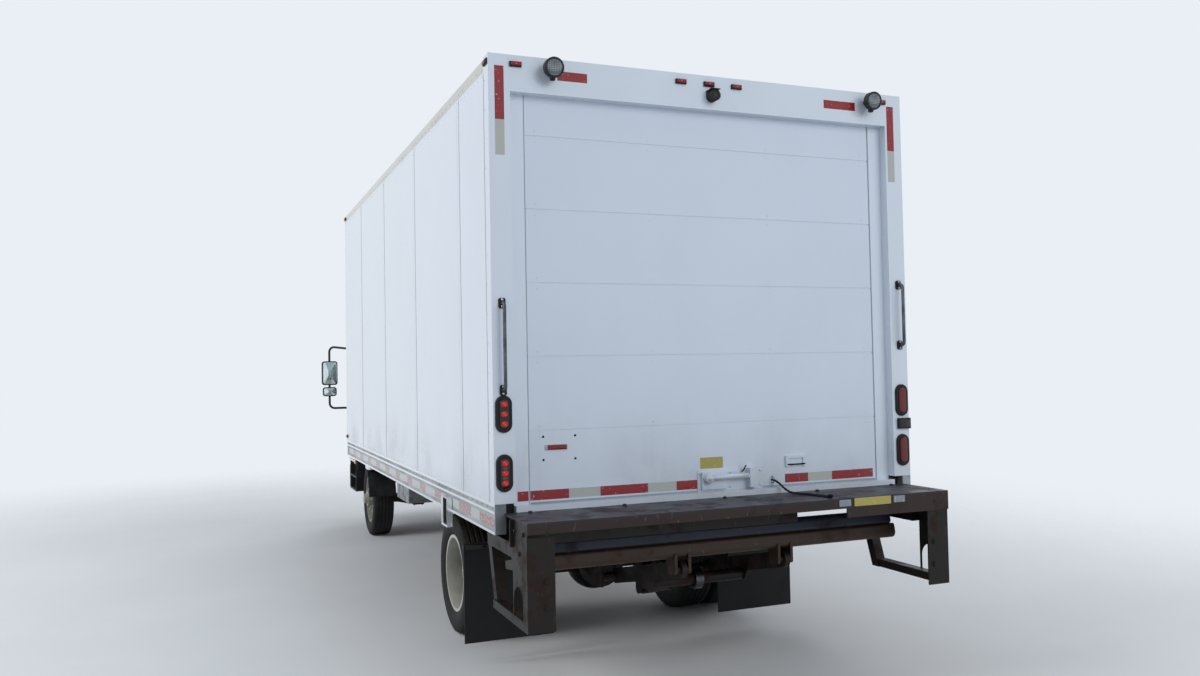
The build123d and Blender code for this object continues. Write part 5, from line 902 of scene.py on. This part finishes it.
WINDOW = [(6.480, 1.510), (7.250, 1.510), (7.095, 2.070), (6.480, 2.070)]
SCREEN = [(-0.800, 1.530), (0.800, 1.530), (0.770, 2.130), (-0.770, 2.130)]
BACK_PANE = [(-0.420, 1.650), (0.420, 1.650), (0.420, 2.050), (-0.420, 2.050)]
SLOPE = np.array((ROOF - BELT, 0, 0.335))
screen = rounded_run(SCREEN, 50 * MM)
screen_run = np.stack([screen_x(screen[:, 1]), *screen.T], -1)
loop_strip("windshield_seal", screen_run, SLOPE, 26, 5, "cab")
edge = np.repeat([(-0.802, 1.478), (0.802, 1.478), (0.802, 2.182), (-0.802, 2.182)], len(screen) // 4, 0)
frame_rings = [(edge, 0), (screen, 0), (screen, 44 * MM), (edge, 44 * MM)]
frame_points = [np.stack([screen_x(ring[:, 1], deep), *ring.T], -1) for ring, deep in frame_rings]
mesh_piece("windshield_frame", frame_points, grid_faces(4, len(screen), wrap_rows=True), CAB_PAINT, "cab",
    smooth=False)
back = rounded_run(BACK_PANE, 50 * MM)
loop_strip("back_glass_seal", np.stack([np.full(len(back), CAB_REAR), *back.T], -1), (-1, 0, 0), 24, 5, "cab")
for side, sign in SIDES:
    outward = (0, sign, LEAN)
    loop_strip(f"door_glass_seal_{side}", on_side(rounded_run(WINDOW, 45 * MM), sign), outward, 22, 4,
        f"door_{side}")
    for k, (x, z, size) in enumerate(((7389.5, 1.819, (156, 262)), (7399.5, 1.595, (138, 88)))):
        place = at(x, sign * 1.240, z)
        pads(f"mirror_glass_{side}_{k}", place, size, 26, (-1, 1.5, 1.5, 2.5), MIRROR, "back", "cab")
        pads(f"mirror_rim_{side}_{k}", np.add(place, (9 * MM, 0, 0)), np.add(size, 20), 31,
            (-10, 6, 3, 9.2, 9, 9.6), GRAIN, "back", "cab")
    pads(f"door_handle_{side}", at(6545, sign * (CAB_SIDE + 11 * MM), BELT - 80 * MM), (150, 25), 9,
        (-6, 1, 3, 3.5), GRAIN, side, f"door_{side}")
    turned(f"door_lock_{side}", [(0, -2), (11, -2), (11, 1.5), (9, 3), (0, 3)],
        at(6665, sign * CAB_SIDE, BELT - 80 * MM), BRIGHT, (0, sign, 0), f"door_{side}", 24)
    for k, (y, look, width) in enumerate(((0.6755, CLEAR_LENS, 120), (0.8095, AMBER_LENS, 66))):
        pads(f"headlamp_lens_{side}_{k}", at(7614, sign * y, 0.956), (width, 118), 16, (-3, 1, 4, 4, 14, 6), look,
            "front", "cab", 8)
    for k, y in enumerate((0.7355, 0.6755)):
        turned(f"headlamp_bowl_{side}_{k}", [(0, -1), (24, -1), (24, 5.5), (21, 5.5), (8, 1), (0, 1)],
            at(7614, sign * y, 0.956), CHROME, (1, 0, 0), "cab", 32)
    pads(f"corner_lamp_{side}", at(7450, sign * CAB_SIDE, 1.06), (46, 70), 8, (-14, 2, 3, 4), AMBER_LENS, side,
        "cab")
    treads = [(x, sign * 0.915, z) for x in np.linspace(station(6945), station(7355), 9) for z in (0.4502, 0.6052)]
    pads(f"step_treads_{side}", treads, (150, 12), 5, [(0, -0.5), (0.5, 2), (2, 3)], GRAIN, "up", "cab", 4)
    fog = at(7625, sign * 0.700, 0.550)
    turned(f"fog_lamp_{side}", [(0, -14), (44, -14), (46, -2), (40, 3), (20, 7), (0, 8)], fog, CLEAR_LENS,
        (1, 0, 0), steps=40)
    pivot = np.array((screen_x(1.505) - 4 * MM, sign * 0.30 - 0.12, 1.505))
    tip = np.array((screen_x(1.93) + 13 * MM, sign * 0.30 + 0.24, 1.93))
    turned(f"wiper_pivot_{side}", [(0, -12), (15, -12), (15, 10), (11, 15), (0, 16)], pivot, GRAIN, SLOPE, "cab",
        20)
    lift = 13 * MM * unit(SLOPE)
    tube(f"wiper_arm_{side}", [pivot + lift, pivot + lift + (tip - pivot) * 0.12, tip], 5, GRAIN, "cab", 20, 8)
    blade = [(screen_x(z, -3 * MM), tip[1] + dy, z) for dy, z in ((-0.215, 1.62), (0.02, 1.92), (0.10, 2.02))]
    tube(f"wiper_blade_{side}", np.array(blade) + lift * 0.3, 5, SEAL, "cab", 30, 8)
pads("cab_roof_lamps", [at(7170, y, ROOF) for y in np.linspace(-0.7, 0.7, 5)], (62, 30), 12,
    (-24, -12, 3, -5, 9, -1.5), AMBER_LENS, "up", "cab")
pads("front_plate_place", at(7639, 0, 0.628), (300, 62), 6, (-3, 0.4, 0.6, 0.9), BRIGHT, "front", smooth=False)


# Inside the cab: seats, dials, vents and pedals

def cushion(name, centre, turn, size, channels=(), power=7.0, count=22):
    """Padded form: the points q of a cube's surface, divided by (|x|^p + |y|^p + |z|^p)^(1/p), scaled to the size.

    The top is crowned: its height is multiplied by 1 - 0.14 * (|x|^3 + |y|^3). The sides pull in between corners,
    and each sewn channel is a groove across the top of its depth, in mm, times exp(-(distance / 7 mm)^2).
    """
    run = np.linspace(-1, 1, count)
    u, v = (g.ravel() for g in np.meshgrid(run, run, indexing="ij"))
    one = np.ones_like(u)
    cube = np.concatenate([np.stack(face, -1) for face in (
        (one, u, v), (-one, v, u), (v, one, u), (u, -one, v), (u, v, one), (v, u, -one))])
    shape = cube / (np.abs(cube) ** power).sum(1, keepdims=True) ** (1 / power)
    x, y, z = shape.T
    crown = 1 - 0.14 * (np.abs(x) ** 3 + np.abs(y) ** 3) * (z > 0)
    half = np.asarray(size, float) / 2
    x_out = x * (1 - 0.03 * (1 - y ** 2) * (1 - z ** 2)) * half[0]
    y_out = y * (1 - 0.03 * (1 - x ** 2) * (1 - z ** 2)) * half[1]
    z_out = z * crown * half[2]
    for axis, place, depth in channels:
        away = (x_out if axis == "x" else y_out) - place
        z_out = z_out - depth * MM * np.exp(-(away / (7 * MM)) ** 2) * np.clip(2 * z, 0, 1)
    local = np.stack([x_out, y_out, z_out], -1)
    faces = copies(grid_faces(count, count, wrap_columns=False), count ** 2, 6)
    piece = mesh_piece(name, local @ np.asarray(turn, float) + centre, faces, CLOTH, "cab", seam=1e-5)
    smoothing = piece.modifiers.new("smooth", "SUBSURF")
    smoothing.levels = smoothing.render_levels = 1
    seat_pieces.append(piece)


def piping(name, centre, turn, size, level):
    """Sewn cord round a cushion's edge: the outline |x|^7 + |y|^7 = 1 at a level of the cushion, 7 mm thick."""
    power = 7.0
    angle = np.linspace(0, TAU, 120, endpoint=False)
    flat = np.stack([np.cos(angle), np.sin(angle)], -1)
    flat /= (np.abs(flat) ** power).sum(1, keepdims=True) ** (1 / power)
    shrink = (1 - abs(level) ** power) ** (1 / power)
    local = np.stack([flat[:, 0] * size[0] / 2 * shrink, flat[:, 1] * size[1] / 2 * shrink,
                      np.full(len(flat), level * size[2] / 2 * 0.93)], -1)
    turn = np.asarray(turn, float)
    run = local @ turn + centre
    across = np.cross(turn[2], unit(np.roll(run, -1, 0) - np.roll(run, 1, 0)))
    ring = np.linspace(0, TAU, 8, endpoint=False)[:, None]
    points = run[:, None] + 3.5 * MM * (np.cos(ring) * across[:, None] + np.sin(ring) * turn[2])
    mesh_piece(name, points, grid_faces(len(run), 8, wrap_rows=True), PIPING, "cab")


tilt = math.atan2(0.095, 0.49)
LEANING = ((-math.sin(tilt), 0, math.cos(tilt)), (0, 1, 0), (math.cos(tilt), 0, math.sin(tilt)))
seat_pieces = []
PIPED = {"cushion": "seat", "back": "back"}
SEATS = {"driver": (0.630, 0.492), "middle": (-0.010, 0.570), "passenger": (-0.590, 0.570)}
for who, (y, width) in SEATS.items():
    base = 1.185
    for part, place, turn, size, channels in (
            ("cushion", at(6486, y, base + 80 * MM), LEVEL, (0.580, width, 0.165),
             (("y", -0.3 * width, 6), ("y", 0.3 * width, 6), ("x", 0.13, 5), ("x", -0.02, 5), ("x", -0.16, 5))),
            ("back", at(6222, y, base + 385 * MM), LEANING, (0.510, width, 0.130),
             (("y", -0.3 * width, 5), ("y", 0.3 * width, 5), ("x", 0.12, 5), ("x", 0, 5), ("x", -0.12, 5)))):
        cushion(f"seat_{part}_{who}", place, turn, size, channels)
        piping(f"{PIPED[part]}_piping_{who}", place, turn, size, 0.55)
    cushion(f"head_rest_{who}", at(6140, y, base + 745 * MM), LEANING, (0.160, 0.228, 0.085), (), 4.0, 14)
    turned(f"rest_stems_{who}", [(0, -60), (6, -60), (6, 60), (0, 60)], [at(6165, y + dy, base + 650 * MM)
        for dy in (-0.06, 0.06)], CHROME, (-0.15, 0, 1), "cab", 16)
for name, y, wide in (("bench_frame", -0.300, 1130), ("driver_frame", 0.630, 460)):
    pads(name, at(6480, y, 1.196), (540, wide), 20, (-10, 16, 6, 24), GRAIN, LEVEL, "cab")
for piece in seat_pieces:
    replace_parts(piece, "seats")

WHEEL_Y = 0.420
dials = [at(7125, WHEEL_Y + dy, 1.372) for dy in (-0.115, 0.0, 0.115)]
FACE_AXES = np.array(((0, -1, 0), (0.30, 0, 0.954), (-0.954, 0, 0.30)))
pads("dial_panel", at(7129, WHEEL_Y, 1.370), (400, 120), 34, (-10, 4, 4, 8), GRAIN, FACE_AXES, "cab")
turned("dial_faces", [(0, 8), (44, 8), (44, 9), (0, 9)], dials, DIAL_FACE, FACE_AXES[2], "cab", 40)
turned("dial_rims", [(44, 7), (44, 12), (48, 13), (51, 7), (44, 7)], dials, CHROME, FACE_AXES[2], "cab", 40)
vents = [at(7124, y, 1.368) for y in (0.78, 0.12, -0.1, -0.78)]
pads("vent_frames", vents, (120, 70), 12, (-8, 4, 3, 7, 8, 5), GRAIN, FACE_AXES, "cab")
slats = [v + FACE_AXES[1] * dz * MM + FACE_AXES[2] * 5 * MM for v in vents for dz in (-20, -7, 7, 20)]
pads("vent_slats", slats, (104, 5), 2, (-2, 2, 1, 3), DASH, FACE_AXES, "cab", 3)
pads("radio", at(7122, -0.02, 1.262), (190, 62), 6, (-10, 5, 2, 7), SMOKED,
    ((0, -1, 0), (0.05, 0, 1), (-1, 0, 0.05)), "cab")
turned("radio_knobs", [(0, 4), (13, 4), (12, 17), (10, 19), (0, 19)], [at(7122, -0.02 + dy, 1.262)
    for dy in (-0.075, 0.075)], GRAIN, (-1, 0, 0.05), "cab", 24)
pads("glove_lid", at(7133, -0.55, 1.262), (420, 130), 20, (-12, 2, 3, 5), DASH,
    ((0, -1, 0), (-0.28, 0, 0.96), (-0.96, 0, -0.28)), "cab")
for k, (y, wide) in enumerate(((0.36, 60), (0.47, 90), (0.60, 50))):
    pads(f"pedal_{k}", at(7290, y, 1.01), (wide, 90), 12, (-6, 4, 3, 6), SEAL,
        ((0, -1, 0), (0.5, 0, 0.866), (-0.866, 0, 0.5)), "cab")
    tube(f"pedal_arm_{k}", [at(7293, y, 1.015), at(7350, y, 1.09), at(7400, y, 1.17)], 7, FRAME_STEEL, "cab", 20, 8)
tube("gear_lever", [at(6960, 0.02, 1.23), at(6955, 0.02, 1.30), at(6935, 0.03, 1.42)], 8, CHROME, "cab", 30, 12)
turned("gear_knob", [(0, -24), (16, -20), (25, -4), (25, 8), (17, 22), (0, 27)], at(6932, 0.031, 1.44), GRAIN,
    (-0.15, 0, 1), "cab", 24)
pads("floor_mats", [at(7080, y, 0.936) for y in (0.64, -0.64)], (520, 480), 40, (-1, 5, 4, 8), SEAL,
    ((0, 1, 0), (1, 0, 0), (0, 0, 1)), "cab")


# Floor and light

def floor_piece():
    """Pale floor that fades into the background with distance from the truck's outline."""
    m = Finish("pale studio floor", Roughness=0.85)
    away = m.add("TexCoord")["Object"]
    for operation, other in (("ABSOLUTE", (0, 0, 0)), ("SUBTRACT", (3.6, 1.0, 0)), ("MAXIMUM", (0, 0, 0))):
        away = m.add("VectorMath", {0: away, 1: other}, operation=operation)[0]
    flat = m.add("VectorMath", {0: away}, operation="LENGTH")["Value"]
    m.done(m.blend(m.band(m.cloud(1.7, 4), 0.3, 0.7), "#d2d5d7", "#d8dadb"))
    m.tree.links.new(m.band(flat, 0.3, 8.5, 1.0, 0.0), m.shader.inputs["Alpha"])
    radius = np.array([0.0, 8.0, 14.0, 20.0, 27.0])[:, None]
    angle = np.linspace(0, TAU, 96, endpoint=False)
    points = np.stack([radius * np.cos(angle), radius * np.sin(angle), 0 * radius * angle], -1)
    mesh = bpy.data.meshes.new("floor")
    mesh.from_pydata(points.reshape(-1, 3).tolist(), [], grid_faces(len(radius), 96)[:, ::-1].tolist())
    mesh.materials.append(m.made)
    piece = placed("floor", mesh)
    weld(piece)


def background():
    """Near-white surroundings where they are seen, mirrored or looked through, and a softer grey as light."""
    world = bpy.data.worlds.new("studio")
    bpy.context.scene.world = world
    world.use_nodes = True
    tree = world.node_tree
    tree.nodes.clear()
    path = add(tree, "LightPath")
    seen = path["Is Camera Ray"]
    for other in ("Is Transmission Ray", "Is Glossy Ray"):
        seen = add(tree, "Math", {0: seen, 1: path[other]}, operation="MAXIMUM")[0]
    soft, bright = (add(tree, "Background", {"Color": linear(colour), "Strength": strength})[0]
                    for colour, strength in (("#e4ebf5", 0.5), ("#eaeff5", 1.0)))
    add(tree, "OutputWorld", {"Surface": add(tree, "MixShader", {0: seen, 1: soft, 2: bright})[0]})


def lamp(name, place, aim, size, power, mirrored=True):
    """Square soft box at a place, turned to what it lights; one that isn't mirrored leaves no edge in the gloss."""
    data = bpy.data.lights.new(name, "AREA")
    data.size, data.energy = size, power
    made = placed(name, data)
    made.visible_glossy = mirrored
    back = unit(np.subtract(place, aim))
    across = unit(np.cross((0, 0, 1.0), back))
    stand(made, (across, np.cross(back, across), back), place)


floor_piece()
background()
lamp("key", (-2, 12, 9), (0, 0, 1.5), 7.0, 900)
lamp("rear_fill", (-13, -3, 6), (-3, 0, 1.6), 7.0, 420, mirrored=False)
lamp("front_fill", (13, -6, 7), (3, 0, 1.4), 7.0, 420)
lamp("right_fill", (1, -12, 6), (0, 0, 1.5), 7.0, 350)
bpy.context.scene.view_settings.view_transform = "Standard"
